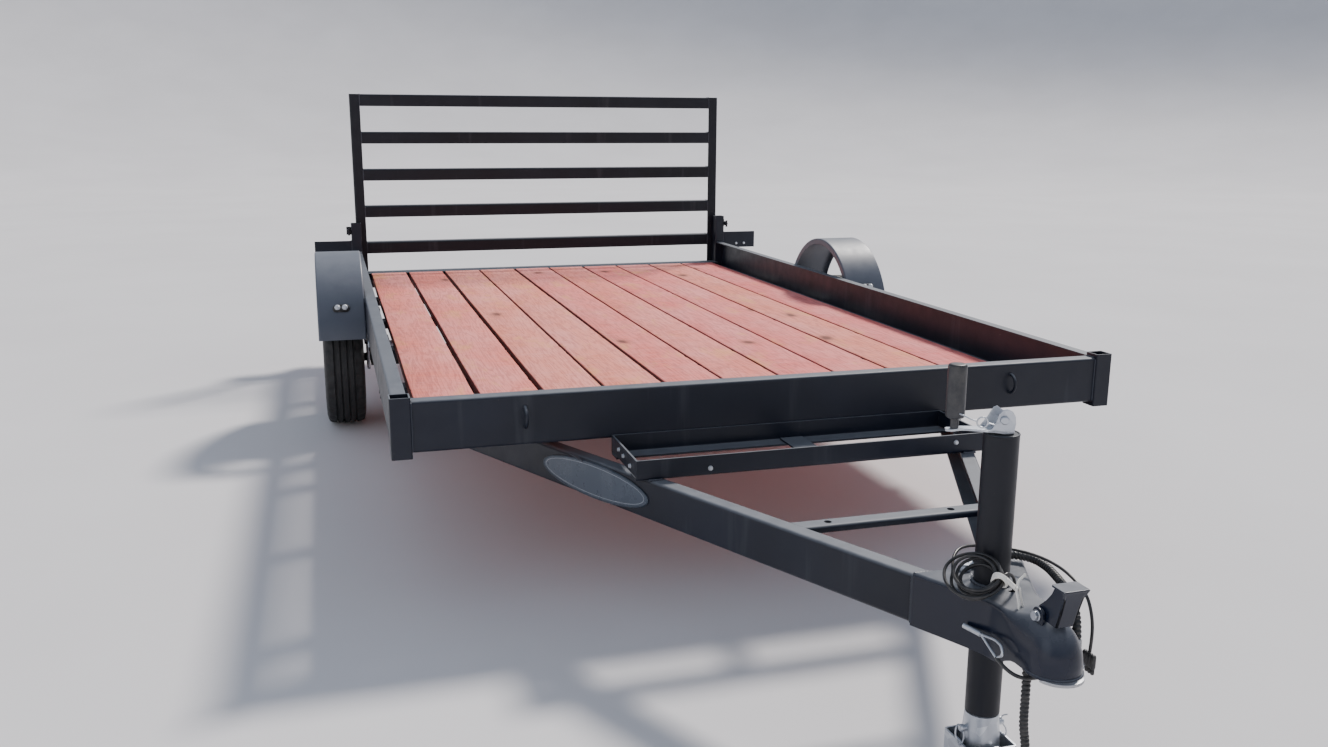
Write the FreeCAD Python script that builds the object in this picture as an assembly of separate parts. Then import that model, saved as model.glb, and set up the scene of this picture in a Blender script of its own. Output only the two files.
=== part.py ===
import FreeCAD, Part
import math
import os

V = FreeCAD.Vector

# A single-axle utility trailer with a board deck and a fold-down rear gate, parked on its jack.
# Millimetres. +Z up, the floor at 0. +Y runs from the coupler to the gate, +X to the right.
# The origin is on the floor, under the middle of the whole trailer.

# Bed
bed_width = 1600.0
bed_length = 2690.0
rail_top = 440.0
front_rail_height = 102.0
side_rail_height = 110.0
rail_flange = 32.0
rail_wall = 3.0
bend_inside = 3.0
post_size = 40.0
post_wall = 3.0
post_proud_side = 4.0
post_proud_front = 6.0
front_post_height = 121.0
front_post_above = 9.0
rear_post_above = 115.0
rear_post_below = 112.0

# Floor
board_count = 10
board_side_gap = 33.8
board_gap = 7.6
board_thick = 25.0
board_front_gap = 8.0
cross_width = 60.0
cross_depth = 25.0
cross_wall = 3.0
cross_front_set = 120.0
cross_axle_set = 34.1
cross_ahead = 3
cross_behind = 2
sill_shelf = 85.0
sill_height = 65.0
sill_lip = 40.0

# Tongue
tongue_height = 78.0
tongue_flange = 30.0
tongue_wall = 4.0
tongue_half_at_bed = 436.0
tongue_half_at_jack = 60.2
tongue_back = 640.0
tongue_end_back = 138.0
tongue_spare = 60.0
tie_width = 35.0
tie_depth = 12.0
tie_wall = 3.0
tie_set = 485.0
tie_hole_radius = 6.5
tie_hole_inset = 90.2

# Tray of angle iron that ties the tongue to the bed's front
tray_length = 742.0
tray_depth = 190.0
tray_leg = 40.0
tray_wall = 4.0
strap_width = 50.0
strap_x = 17.0
strap_hole_radius = 6.5
strap_hole_set = 95.0

# Jack
jack_back = 155.0
jack_radius = 25.4
jack_wall = 3.2
jack_top = 530.0
jack_bottom = 107.0
jack_cap = 4.0
jack_cap_round = 2.5
jack_leg_down = 60.0
leg_radius = 21.5
leg_wall = 3.0
socket_radius = 25.0
socket_flare = 4.0
socket_top_gap = 2.0
socket_height = 52.0
foot_size = 78.0
foot_height = 62.0
foot_wall = 3.0
foot_round = 5.0
crank_reach = 66.0
crank_arm_width = 26.0
crank_arm_depth = 20.0
crank_arm_wall = 2.5
crank_tail = 20.0
crank_end = 14.0
grip_bolt_radius = 6.0
grip_round = 4.0
crank_turn = 158.0
grip_radius = 13.5
grip_height = 78.0

# Coupler
ball_radius = 25.4
ball_gap = 0.4
ball_set = 950.0
ball_height = 270.0
nose_drop = 22.0
nose_rise = 6.0
nose_round = 34.0
coupler_wall = 5.0
coupler_length = 215.0
coupler_neck_half = 38.0
neck_step = 60.0
latch_back = 15.0
latch_lift = 22.0
latch_width = 28.0
latch_ear = 5.0
latch_ear_size = 11.0
latch_pin_radius = 5.0
latch_reach = 50.0
latch_heel = 10.0
latch_toe = 34.0
latch_grip = 24.0
latch_rise = 51.0

# Axle and springs
axle_behind_middle = 264.0
wheel_outset = 70.0
axle_height = 210.0
axle_size = 50.0
axle_wall = 5.0
spindle_radius = 13.5
hub_running_gap = 0.05
spring_inset = 35.0
spring_half = 290.0
spring_rise = 38.0
leaf_width = 44.0
leaf_thick = 6.0
leaf_halves = (290.0, 215.0, 140.0)
spring_seat_thick = 6.0
eye_bore = 7.0
hanger_wall = 5.0
hanger_gap = 1.0
hanger_length = 52.0
hanger_below = 18.0
bolt_past = 6.0
slipper_set = 268.0
slipper_gap = 3.0
tie_plate_thick = 8.0
tie_plate_side = 16.0
tie_plate_half = 44.0
u_bolt_radius = 5.0
u_bolt_rise = 26.0
spindle_shoulder = 85.0
spindle_past = 23.0
end_plate = 8.0

# Wheels
tyre_radius = 210.0
tyre_width = 122.0
shoulder_width = 12.0
shoulder_drop = 14.0
shoulder_round = 8.0
sidewall_rise = 52.0
sidewall_round = 40.0
bead_radius = 101.6
rim_width = 95.0
rim_wall = 3.0
rim_lip = 14.0
rim_well_half = 20.0
rim_well_radius = 86.0
rim_well_slope = 6.0
disc_wall = 4.0
disc_step = 4.0
disc_dish = 8.0
hub_face = 0.0
hub_inner = -57.0
hub_outer = 24.0
cap_depth = 18.0
cap_step = 6.0
cap_round = 9.0
hub_radius = 34.0
hub_flange_radius = 68.0
hub_flange_thick = 8.0
stud_circle = 114.3
stud_radius = 6.0
stud_count = 5
stud_reach = 22.0

# Fenders
fender_radius = 275.0
fender_height = 280.0
fender_width = 140.0
fender_wall = 2.0
fender_lip = 20.0
fender_sweep = 82.0
marker_angle = 62.0
marker_width = 48.0
marker_height = 20.0
marker_depth = 12.0
marker_round = 3.0

# Gate
gate_inset = 17.0
gate_gap = 10.0
gate_member = 40.0
gate_wall = 4.0
gate_bar_height = 47.0
gate_top_above = 629.0
gate_bar_pitch = 149.0
gate_open_bars = 5
gate_foot_bottom = 298.0
hinge_height = 285.0
hinge_radius = 10.0
pin_radius = 6.0
pin_gap = 0.05
knuckle_length = 40.0
knuckle_gap = 1.0
hinge_inset = 200.0
hinge_pin_past = 3.0
hinge_strap = 4.0
hinge_strap_rise = 55.0
latch_above = 82.0
latch_barrel_radius = 9.0
latch_barrel_length = 34.0
latch_rod_radius = 5.0
latch_pull_radius = 4.0
latch_pull_half = 14.0
latch_pull_set = 12.0
latch_tail = 16.0
latch_set = 2.0
keeper_half = 16.0

# Lamp brackets and lamps
bracket_reach = 146.0
bracket_height = 70.0
bracket_top_above = 45.0
bracket_wall = 3.0
bracket_leg = 30.0
bracket_back = 38.0
lamp_width = 96.0
lamp_height = 60.0
lamp_depth = 36.0
lamp_set = 6.0
lamp_round = 6.0

# Loops and the blank oval sign
loop_inset = 255.0
loop_height = 395.0
loop_radius = 20.0
loop_rod_radius = 3.5
sign_set = 40.0
sign_half_length = 165.0
sign_half_height = 36.0
sign_thick = 2.0

# Wiring lead, coiled against the jack, with a flat plug on its end
lead_radius = 2.3
hank_centre = (-50.0, -37.0, 339.0)
hank_radius = 34.0
hank_section = 7.0
hank_tilt = 31.0
slot_place = (12.0, -39.0)
slot_length = 16.0
slot_width = 7.0
plug_width = 26.0
plug_depth = 9.0
plug_length = 30.0
plug_round = 2.0

# Safety cables: a curly stretch, and on the right one a smooth tail up to its hook
curl_radius = 6.5
tail_radius = 2.75
ferrule_radius = 4.0
hook_wire = 2.0
anchor_place = (-14.0, 48.0)
anchor_radius = 9.0
anchor_thick = 5.0
anchor_bolt_radius = 6.0
anchor_bolt_height = 5.0
ferrule_start = 6.0
floor_hook_length = 62.0
floor_hook_width = 26.0

# Routes of the cords, each a list of (x, y, z) from end to end, y from the jack's axis
feed_route = [(12, -39, 300), (12, -39, 316), (8, -45, 331), (-4, -53, 343), (-18, -60, 349),
              (-31, -64, 346)]
lead_route = [(-70, -10, 339), (-62, 7, 349), (-42, 26, 356), (-14, 39, 353), (16, 45, 347),
              (46, 42, 342), (71, 24, 339), (84, -3, 338), (88, -37, 337), (84, -72, 335),
              (82, -107, 326), (77, -128, 304), (75, -135, 277), (72, -136, 254)]
right_route = [(2, 55, 318), (36, 67, 319), (72, 65, 320), (96, 41, 320), (97, 5, 320), (86, -35, 320),
               (76, -73, 318), (66, -105, 308), (57, -125, 288), (53, -132, 262)]
tail_route = [(53, -132, 262), (51, -135, 251), (45, -139, 242), (34, -143, 236), (19, -145, 234),
              (2, -146, 234), (-18, -147, 234), (-36, -149, 236), (-49, -144, 240), (-55, -133, 244),
              (-56, -119, 247), (-54, -106, 248)]
hook_ferrule = [(-58.5, -29, 262), (-51, -61, 262)]
hook_bend = [(-50, -77, 265), (-50, -95, 269), (-51, -111, 268), (-53, -119, 258)]
left_route = [(-4, -103, 305), (-4, -103, 272), (-5, -105, 246), (-8, -112, 222), (-12, -118, 198),
              (-14, -121, 151), (-10, -122, 126), (-8, -125, 98), (0, -131, 68), (18, -139, 42),
              (44, -145, 23), (76, -146, 12), (108, -141, 8), (136, -131, 7)]

# Clearance between pieces that sit on each other
seat = 0.3

# Share of a cord's shorter run that its arc takes up
arc_share = 0.45

# Places that follow from the sizes
tongue_reach = ball_set + coupler_neck_half
gate_stack = gate_gap + gate_member
overall = tongue_reach + bed_length + gate_stack
front = tongue_reach - overall / 2
bed_rear = front + bed_length
half = bed_width / 2
post_x = half + post_proud_side - post_size
side_rail_bottom = rail_top - side_rail_height
front_rail_bottom = rail_top - front_rail_height
board_top = side_rail_bottom + board_thick
cross_bottom = side_rail_bottom - cross_depth
tongue_top = cross_bottom
tongue_bottom = tongue_top - tongue_height
axle_y = front + bed_length / 2 + axle_behind_middle
jack_set = ball_set - jack_back
jack_y = front - jack_set
tongue_slope = (tongue_half_at_bed - tongue_half_at_jack) / jack_set
tongue_angle = math.atan(tongue_slope)
tongue_front = ball_set - tongue_end_back
coupler_back = ball_set - coupler_length
boards_across = bed_width - 2 * (rail_flange + board_side_gap)
board_width = (boards_across + board_gap) / board_count - board_gap
board_pitch = board_width + board_gap
board_front = front + rail_flange + board_front_gap
board_rear = bed_rear - sill_shelf - seat
gate_front = bed_rear + gate_gap
hinge_y = bed_rear + seat + hinge_radius
spring_x = half - spring_inset
spring_base = axle_height + axle_size / 2 + spring_seat_thick
wheel_x = half + wheel_outset
axle_beam_half = wheel_x - spindle_shoulder
spindle_end = wheel_x + spindle_past
disc_flat = hub_flange_radius + disc_step


def both_sides(shape):
    """The shape and its mirror image across the trailer's middle."""
    return [shape, shape.mirror(V(0, 0, 0), V(1, 0, 0))]


def box(x0, x1, y0, y1, z0, z1):
    return Part.makeBox(x1 - x0, y1 - y0, z1 - z0, V(x0, y0, z0))


def rod(radius, start, end):
    run = end - start
    return Part.makeCylinder(radius, run.Length, start, run)


def pipe(outer, inner, start, end):
    return rod(outer, start, end).cut(rod(inner, start, end))


def rounded_face(corners, radii, origin, u, v):
    """A flat face whose outline turns each corner (a, b) with the radius of the same place."""
    count = len(corners)
    edges = []
    last = None
    first = None
    for k in range(count):
        here = V(*corners[k], 0)
        back = (V(*corners[k - 1], 0) - here).normalize()
        ahead = (V(*corners[(k + 1) % count], 0) - here).normalize()
        half_angle = back.getAngle(ahead) / 2
        reach = radii[k] / math.tan(half_angle)
        start = here + back * reach
        end = here + ahead * reach
        middle = None
        if radii[k] > 0:
            bisector = (back + ahead).normalize()
            middle = here + bisector * (radii[k] / math.sin(half_angle) - radii[k])
        start, end = (origin + u * p.x + v * p.y for p in (start, end))
        if last is None:
            first = start
        else:
            edges.append(Part.makeLine(last, start))
        if middle is not None:
            middle = origin + u * middle.x + v * middle.y
            edges.append(Part.Arc(start, middle, end).toShape())
        last = end
    edges.append(Part.makeLine(last, first))
    return Part.Face(Part.Wire(edges))


def folded_face(path, wall, inside, origin, u, v, sharp=False):
    """A folded sheet's section: the path (a, b) is its right-hand side, and the wall lies to the left."""
    points = [V(a, b, 0) for a, b in path]
    steps = [(q - p).normalize() for p, q in zip(points, points[1:])]
    sides = [V(-s.y, s.x, 0) for s in steps]
    left = [points[0] + sides[0] * wall]
    outer_radii = [0.0]
    inner_radii = [0.0]
    for k in range(1, len(steps)):
        turn = steps[k - 1].cross(steps[k]).z
        blend = (sides[k - 1] + sides[k]) * (1 / (1 + sides[k - 1].dot(sides[k])))
        left.append(points[k] + blend * wall)
        outer_radii.append(inside + wall if turn > 0 else inside)
        inner_radii.append(inside if turn > 0 else inside + wall)
    left.append(points[-1] + sides[-1] * wall)
    outer_radii.append(0.0)
    inner_radii.append(0.0)
    corners = [(p.x, p.y) for p in points + left[::-1]]
    radii = [0.0] * len(corners) if sharp else outer_radii + inner_radii[::-1]
    return rounded_face(corners, radii, origin, u, v)


def folded(path, wall, inside, origin, u, v, run):
    return folded_face(path, wall, inside, origin, u, v).extrude(run)


def channel(height, flange, wall, origin, inward, run):
    """A folded channel: web upright at the origin, flanges reaching inward, bottom at the origin."""
    path = [(flange, 0), (0, 0), (0, height), (flange, height)]
    path = [(a, b) for a, b in path[::-1]]
    return folded(path, wall, bend_inside, origin, inward, V(0, 0, 1), run)


def angle(leg_a, leg_b, wall, origin, a_axis, b_axis, run):
    """An angle iron with its heel at the origin and its legs along the two axes."""
    path = [(0, leg_b), (0, 0), (leg_a, 0)]
    return folded(path, wall, bend_inside, origin, a_axis, b_axis, run)


def upright_edges(shape):
    return [e for e in shape.Edges if abs(e.tangentAt(e.FirstParameter).z) > 0.9]


def square_tube(size, wall, x0, y0, z0, z1):
    outer = box(x0, x0 + size, y0, y0 + size, z0, z1)
    inner = box(x0 + wall, x0 + size - wall, y0 + wall, y0 + size - wall, z0, z1)
    outer = outer.makeFillet(wall, upright_edges(outer))
    return outer.cut(inner)


def from_jack(places):
    """The places (x, y, z), whose y is measured from the jack's axis."""
    return [V(x, y + jack_y, z) for x, y, z in places]


def cord(name, route, radius):
    """A round tube along straight runs joined by arcs, each as large as its two runs allow."""
    points = from_jack(route)
    edges = []
    radii = []
    last = points[0]
    for before, here, after in zip(points, points[1:], points[2:]):
        back = before - here
        ahead = after - here
        reach = arc_share * min(back.Length, ahead.Length)
        half_angle = back.getAngle(ahead) / 2
        back.normalize()
        ahead.normalize()
        arc_radius = reach * math.tan(half_angle)
        bisector = (back + ahead).normalize()
        middle = here + bisector * (arc_radius / math.sin(half_angle) - arc_radius)
        edges.append(Part.makeLine(last, here + back * reach))
        last = here + ahead * reach
        edges.append(Part.Arc(here + back * reach, middle, last).toShape())
        radii.append(round(arc_radius, 1))
    edges.append(Part.makeLine(last, points[-1]))
    length = sum(e.Length for e in edges)
    profile = Part.Wire(Part.makeCircle(radius, points[0], points[1] - points[0]))
    tube = Part.Wire(edges).makePipeShell([profile], True, True)
    print(name, "length", round(length), "tightest radius", min(radii), "radii", radii,
          "volume over section times length", round(tube.Volume / (math.pi * radius ** 2 * length), 4))
    return tube


def make_rails():
    side = channel(side_rail_height, rail_flange, rail_wall,
                   V(half, front - post_proud_front + post_size, side_rail_bottom),
                   V(-1, 0, 0), V(0, bed_length + post_proud_front - 2 * post_size, 0))
    right, left = both_sides(side)
    head = channel(front_rail_height, rail_flange, rail_wall,
                   V(-post_x, front, front_rail_bottom), V(0, 1, 0), V(2 * post_x, 0, 0))
    sill = folded([(-sill_shelf, 0), (0, 0), (0, -sill_height), (-sill_lip, -sill_height)][::-1],
                  rail_wall, bend_inside, V(-post_x, bed_rear, board_top),
                  V(0, 1, 0), V(0, 0, 1), V(2 * post_x, 0, 0))
    return {"side_rail_left": left, "side_rail_right": right, "front_rail": head, "rear_sill": sill}


def make_posts():
    posts = {}
    top = rail_top + front_post_above
    front_post = square_tube(post_size, post_wall, post_x, front - post_proud_front,
                             top - front_post_height, top)
    rear_post = square_tube(post_size, post_wall, post_x, bed_rear - post_size,
                            rail_top - rear_post_below, rail_top + rear_post_above)
    for name, post in (("front", front_post), ("rear", rear_post)):
        for side, shape in zip(("right", "left"), both_sides(post)):
            posts["corner_post_" + name + "_" + side] = shape
    return posts


def make_floor():
    boards = []
    for k in range(board_count):
        x = -boards_across / 2 + k * board_pitch
        boards.append(box(x, x + board_width, board_front, board_rear, side_rail_bottom, board_top))
    last_cross = board_rear - cross_width
    first_cross = front + cross_front_set
    axle_cross = axle_y - cross_axle_set
    places = [first_cross + k * (axle_cross - first_cross) / cross_ahead for k in range(cross_ahead)]
    places += [axle_cross + k * (last_cross - axle_cross) / cross_behind for k in range(cross_behind + 1)]
    members = []
    for y in places:
        hat = [(0, -cross_depth), (0, 0), (cross_width, 0), (cross_width, -cross_depth)]
        members.append(folded(hat[::-1], cross_wall, bend_inside, V(-half + rail_wall, y, side_rail_bottom),
                              V(0, 1, 0), V(0, 0, 1), V(bed_width - 2 * rail_wall, 0, 0)))
    return {"deck_boards": Part.makeCompound(boards), "floor_crossmembers": Part.makeCompound(members)}


def tongue_x(y, inset=0.0):
    """Half-width of the tongue's outer face at y, less an inset measured square to the beam."""
    return tongue_half_at_bed + tongue_slope * (y - front) - inset / math.cos(tongue_angle)


def make_tongue():
    run = V(math.sin(tongue_angle), math.cos(tongue_angle), 0)
    inward = V(-run.y, run.x, 0)
    y0 = front - tongue_front - tongue_spare
    start = V(tongue_x(y0), y0, tongue_bottom)
    length = (front + tongue_back - y0) / run.y
    beam = channel(tongue_height, tongue_flange, tongue_wall, start, inward, run * (length + tongue_spare))
    keep = box(seat, half, front - tongue_front, front + tongue_back, tongue_bottom - 1, tongue_top + 1)
    jack_hole = rod(jack_radius + seat, V(0, jack_y, 0), V(0, jack_y, jack_top))
    right, left = both_sides(beam.common(keep).cut(jack_hole))

    y_mid = front - tie_set
    reach = tongue_x(y_mid, tongue_flange) + tie_width
    tie = folded([(0, -tie_depth), (0, 0), (tie_width, 0), (tie_width, -tie_depth)][::-1],
                 tie_wall, bend_inside, V(-reach, y_mid - tie_width / 2, tongue_top),
                 V(0, 1, 0), V(0, 0, 1), V(2 * reach, 0, 0))
    mouth = Part.Face(Part.makePolygon([
        V(s * tongue_x(y, tongue_flange + seat), y, tongue_bottom)
        for s, y in ((1, y_mid - tie_width), (1, y_mid + tie_width),
                     (-1, y_mid + tie_width), (-1, y_mid - tie_width), (1, y_mid - tie_width))]))
    tie = tie.common(mouth.extrude(V(0, 0, tongue_height + 1)))
    for s in (-1, 1):
        x = s * (tongue_x(y_mid) - tie_hole_inset)
        tie = tie.cut(rod(tie_hole_radius, V(x, y_mid, tongue_bottom), V(x, y_mid, tongue_top + 1)))

    return {"tongue_beam_left": left, "tongue_beam_right": right, "tongue_tie": tie}


def make_tray():
    z = tongue_top + seat
    half_length = tray_length / 2
    back = angle(tray_leg, tray_leg, tray_wall, V(-half_length, front - seat, z),
                 V(0, -1, 0), V(0, 0, 1), V(tray_length, 0, 0))
    head_y = front - seat - tray_depth
    head = angle(tray_leg, tray_leg, tray_wall, V(-half_length, head_y, z),
                 V(0, 1, 0), V(0, 0, 1), V(tray_length, 0, 0))
    ends = both_sides(box(half_length - tray_wall, half_length, head_y + tray_wall + seat,
                          front - tray_wall - 2 * seat, z + tray_wall + bend_inside, z + tray_leg))
    strap = box(strap_x - strap_width / 2, strap_x + strap_width / 2,
                head_y + tray_wall + bend_inside + seat, front - tray_wall - bend_inside - 2 * seat,
                z + tray_wall, z + 2 * tray_wall)
    hole = V(strap_x, front - strap_hole_set, z)
    strap = strap.cut(rod(strap_hole_radius, hole, hole + V(0, 0, tray_leg)))
    frame = Part.makeCompound([head] + ends)
    return {"tray_back_angle": back, "tray_front_frame": frame, "tray_strap": strap}


def make_jack():
    tube = pipe(jack_radius, jack_radius - jack_wall, V(0, jack_y, jack_bottom), V(0, jack_y, jack_top))
    cap = rod(jack_radius, V(0, jack_y, jack_top), V(0, jack_y, jack_top + jack_cap))
    rim = [e for e in cap.Edges if e.BoundBox.ZMin > jack_top + jack_cap - seat]
    cap = cap.makeFillet(jack_cap_round, rim)
    tube = tube.fuse(cap).removeSplitter()

    leg_top = jack_top - jack_leg_down
    leg_base = foot_wall + seat
    leg = pipe(leg_radius, leg_radius - leg_wall, V(0, jack_y, leg_base), V(0, jack_y, leg_top))
    socket_top = jack_bottom - socket_top_gap
    socket = Part.makeCone(socket_radius + socket_flare, socket_radius, socket_height,
                           V(0, jack_y, socket_top - socket_height))
    socket = socket.cut(rod(leg_radius + seat, V(0, jack_y, 0), V(0, jack_y, socket_top)))
    size = foot_size / 2
    foot = box(-size, size, jack_y - size, jack_y + size, 0, foot_height)
    foot = foot.makeFillet(foot_round, upright_edges(foot))
    hollow = box(-size + foot_wall, size - foot_wall, jack_y - size + foot_wall, jack_y + size - foot_wall,
                 foot_wall, foot_height + 1)
    foot = foot.cut(hollow)
    foot = Part.makeCompound([foot, socket])

    arm_base = jack_top + jack_cap + seat
    arm_top = arm_base + crank_arm_depth
    arm_half = crank_arm_width / 2
    section = [(arm_half, -crank_arm_depth), (arm_half, 0), (-arm_half, 0), (-arm_half, -crank_arm_depth)]
    arm = folded(section, crank_arm_wall, bend_inside, V(-crank_tail, jack_y, arm_top),
                 V(0, 1, 0), V(0, 0, 1), V(crank_tail + crank_reach + crank_end, 0, 0))
    bolt_low = V(crank_reach, jack_y, arm_base + seat)
    grip_low = V(crank_reach, jack_y, arm_top + seat)
    grip = rod(grip_radius, grip_low, grip_low + V(0, 0, grip_height))
    grip = grip.makeFillet(grip_round, [e for e in grip.Edges if e.Closed])
    arm = arm.cut(rod(grip_bolt_radius + seat, bolt_low, grip_low))
    grip = grip.fuse(rod(grip_bolt_radius, bolt_low, grip_low)).removeSplitter()
    for piece in (arm, grip):
        piece.rotate(V(0, jack_y, 0), V(0, 0, 1), crank_turn)
    return {"jack_tube": tube, "jack_leg": leg, "jack_foot": foot, "jack_crank_arm": arm,
            "jack_crank_grip": grip}


def make_coupler():
    ball = V(0, front - ball_set, ball_height)
    side = (seat + coupler_wall) / math.cos(tongue_angle)
    top = tongue_top + seat + coupler_wall
    back = front - coupler_back

    def outline(inset):
        """The top's outline: the tongue's A, narrowing to a straight neck that ends at the ball."""
        neck = coupler_neck_half - inset
        joins = back + (neck - tongue_x(back) - side + inset / math.cos(tongue_angle)) / tongue_slope
        rear = back + (1 if inset else 0)
        wide = neck + tongue_slope * (rear - joins)
        corners = [(wide, rear), (neck, joins), (neck, ball.y)]
        corners += [(-a, b) for a, b in corners[::-1]]
        return rounded_face(corners[::-1], [0.0] * 6, V(0, 0, 0), V(1, 0, 0), V(0, 1, 0))

    def solid(inset, z0, z1):
        shape = outline(inset).extrude(V(0, 0, z1 - z0))
        shape.translate(V(0, 0, z0))
        return shape

    shell = solid(0, tongue_bottom, top)
    neck_keep = box(-half, half, ball.y - 1, ball.y + neck_step, tongue_bottom - 1, ball_height - nose_drop)
    shell = shell.cut(neck_keep)
    nose = rod(coupler_neck_half, V(0, ball.y, ball_height - nose_drop), V(0, ball.y, top + nose_rise))
    nose = nose.makeFillet(nose_round, [nose.Edges[0]])
    hollow = solid(coupler_wall, tongue_bottom - 1, tongue_top + seat)
    hollow = hollow.cut(rod(coupler_neck_half, V(0, ball.y, 0), V(0, ball.y, top)))
    shell = shell.cut(hollow).fuse(nose)
    shell = shell.cut(Part.makeSphere(ball_radius + ball_gap, ball))
    shell = shell.cut(rod(ball_radius + ball_gap, V(0, ball.y, ball_height - nose_drop - 1), ball))
    shell = shell.cut(rod(jack_radius + seat, V(0, jack_y, 0), V(0, jack_y, jack_top)))

    slot = box(-slot_length / 2, slot_length / 2, -slot_width / 2, slot_width / 2, tongue_top, top + 1)
    slot = slot.makeFillet(slot_width / 2 - 0.1, upright_edges(slot))
    slot.translate(V(*slot_place, 0) + V(0, jack_y, 0))
    shell = shell.cut(slot)

    ear_y = ball.y + latch_back
    ears = []
    for s in (-1, 1):
        x = s * (latch_width / 2 + seat + latch_ear / 2)
        ear = box(x - latch_ear / 2, x + latch_ear / 2, ear_y - latch_ear_size, ear_y + latch_ear_size,
                  top - 1, top + latch_lift)
        ears.append(ear)
    shell = shell.fuse(ears).removeSplitter()
    pivot = V(0, ear_y, top + latch_lift - latch_ear_size)
    across = V(latch_width / 2 + seat + latch_ear, 0, 0)
    past = across + V(1, 0, 0)
    shell = shell.cut(rod(latch_pin_radius + seat, pivot - past, pivot + past))

    low = latch_ear_size - latch_lift + nose_rise + seat
    outline_points = [(latch_heel, low), (latch_heel, latch_heel), (latch_grip - latch_reach, latch_rise),
                      (-latch_reach, latch_rise), (-latch_toe, low)]
    lever = rounded_face(outline_points, [2.0, 6.0, 6.0, 3.0, 2.0],
                         pivot - V(latch_width / 2, 0, 0), V(0, 1, 0), V(0, 0, 1))
    lever = lever.extrude(V(latch_width, 0, 0)).fuse(rod(latch_pin_radius, pivot - across, pivot + across))
    return {"coupler_housing": shell, "coupler_latch": lever.removeSplitter()}


def leaf(radius, half_length, centre, x0):
    """One curved leaf, its lower face at the radius, from x0 inward to the trailer's middle."""
    top = radius - leaf_thick
    points = []
    for r in (radius, top):
        bend = math.asin(half_length / r)
        points.append([centre + V(0, r * math.sin(a), -r * math.cos(a)) for a in (-bend, 0, bend)])
    low, high = points
    edges = [Part.Arc(*low).toShape(), Part.makeLine(low[2], high[2]),
             Part.Arc(*high[::-1]).toShape(), Part.makeLine(high[0], low[0])]
    face = Part.Face(Part.Wire(edges))
    face.translate(V(x0, 0, 0))
    return face.extrude(V(leaf_width, 0, 0))


def make_springs():
    bend_radius = (spring_half ** 2 + spring_rise ** 2) / (2 * spring_rise)
    centre = V(0, axle_y, spring_base + bend_radius)
    x0 = spring_x - leaf_width / 2
    count = len(leaf_halves)
    main_radius = bend_radius - (count - 1) * leaf_thick
    leaves = [leaf(main_radius + k * leaf_thick, leaf_halves[k], centre, x0) for k in range(count)]
    bend = math.asin(spring_half / main_radius)
    eye_radius = eye_bore + leaf_thick
    eye_set = main_radius - eye_radius
    eye = centre + V(0, -eye_set * math.sin(bend), -eye_set * math.cos(bend))
    low, high = eye + V(x0, 0, 0), eye + V(x0 + leaf_width, 0, 0)
    main = leaves[0].fuse(rod(eye_radius, low, high)).cut(rod(eye_bore, low, high)).removeSplitter()
    pack = main.fuse(leaves[1:])

    inside = leaf_width / 2 + hanger_gap
    top = side_rail_bottom - seat

    def hanger(y, depth):
        drop = top - depth
        path = [(inside + hanger_wall, -drop), (inside + hanger_wall, 0), (-inside - hanger_wall, 0),
                (-inside - hanger_wall, -drop)]
        return folded(path, hanger_wall, bend_inside, V(spring_x, y - hanger_length / 2, top),
                      V(1, 0, 0), V(0, 0, 1), V(0, hanger_length, 0))

    across = V(inside + hanger_wall + bolt_past, 0, 0)
    middle = V(spring_x, 0, 0)
    ends = (middle + eye - across, middle + eye + across)
    bolt = rod(eye_bore - seat, *ends)
    front_hanger = hanger(eye.y, eye.z - hanger_below).cut(rod(eye_bore, *ends))
    slip = math.asin(slipper_set / main_radius)
    rest_radius = main_radius - leaf_thick - seat
    pad_radius = (top - centre.z + rest_radius * math.cos(slip)) / (1 + math.cos(slip))
    pad_set = rest_radius - pad_radius
    pad_at = centre + V(spring_x, pad_set * math.sin(slip), -pad_set * math.cos(slip))
    pad = rod(pad_radius, pad_at - V(inside, 0, 0), pad_at + V(inside, 0, 0))
    rest = centre + V(spring_x, rest_radius * math.sin(slip), -rest_radius * math.cos(slip))
    keeper = V(0, rest.y, rest.z - leaf_thick - slipper_gap - eye_bore)
    ends = (middle + keeper - across, middle + keeper + across)
    rear_hanger = hanger(rest.y, keeper.z - hanger_below).fuse(pad).removeSplitter()
    rear_hanger = rear_hanger.cut(rod(eye_bore, *ends))
    keeper_bolt = rod(eye_bore - seat, *ends)

    curve_rise = main_radius - math.sqrt(main_radius ** 2 - tie_plate_half ** 2)
    plate_base = spring_base + count * leaf_thick + curve_rise + seat
    tie = box(x0 - tie_plate_side, x0 + leaf_width + tie_plate_side, axle_y - tie_plate_half,
              axle_y + tie_plate_half, plate_base, plate_base + tie_plate_thick)
    bolts = []
    leg_y = axle_size / 2 + seat + u_bolt_radius
    low_z = axle_height - axle_size / 2 - seat - u_bolt_radius
    leg_top = plate_base + u_bolt_rise
    for s in (-1, 1):
        x = spring_x + s * (leaf_width / 2 + seat + u_bolt_radius)
        feet = [V(x, axle_y - leg_y, low_z), V(x, axle_y + leg_y, low_z)]
        bow = rod(u_bolt_radius, *feet)
        for foot in feet:
            top = V(foot.x, foot.y, leg_top)
            bow = bow.fuse([rod(u_bolt_radius, foot, top), Part.makeSphere(u_bolt_radius, foot)])
            tie = tie.cut(rod(u_bolt_radius + seat, foot, top))
        bolts.append(bow.removeSplitter())
    right, left = both_sides(pack)
    return {"leaf_spring_left": left, "leaf_spring_right": right,
            "spring_hangers": Part.makeCompound(both_sides(front_hanger) + both_sides(rear_hanger)),
            "spring_bolts": Part.makeCompound(both_sides(bolt) + both_sides(keeper_bolt)),
            "spring_tie_plates": Part.makeCompound(both_sides(tie)),
            "axle_u_bolts": Part.makeCompound([s for b in bolts for s in both_sides(b)])}


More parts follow.
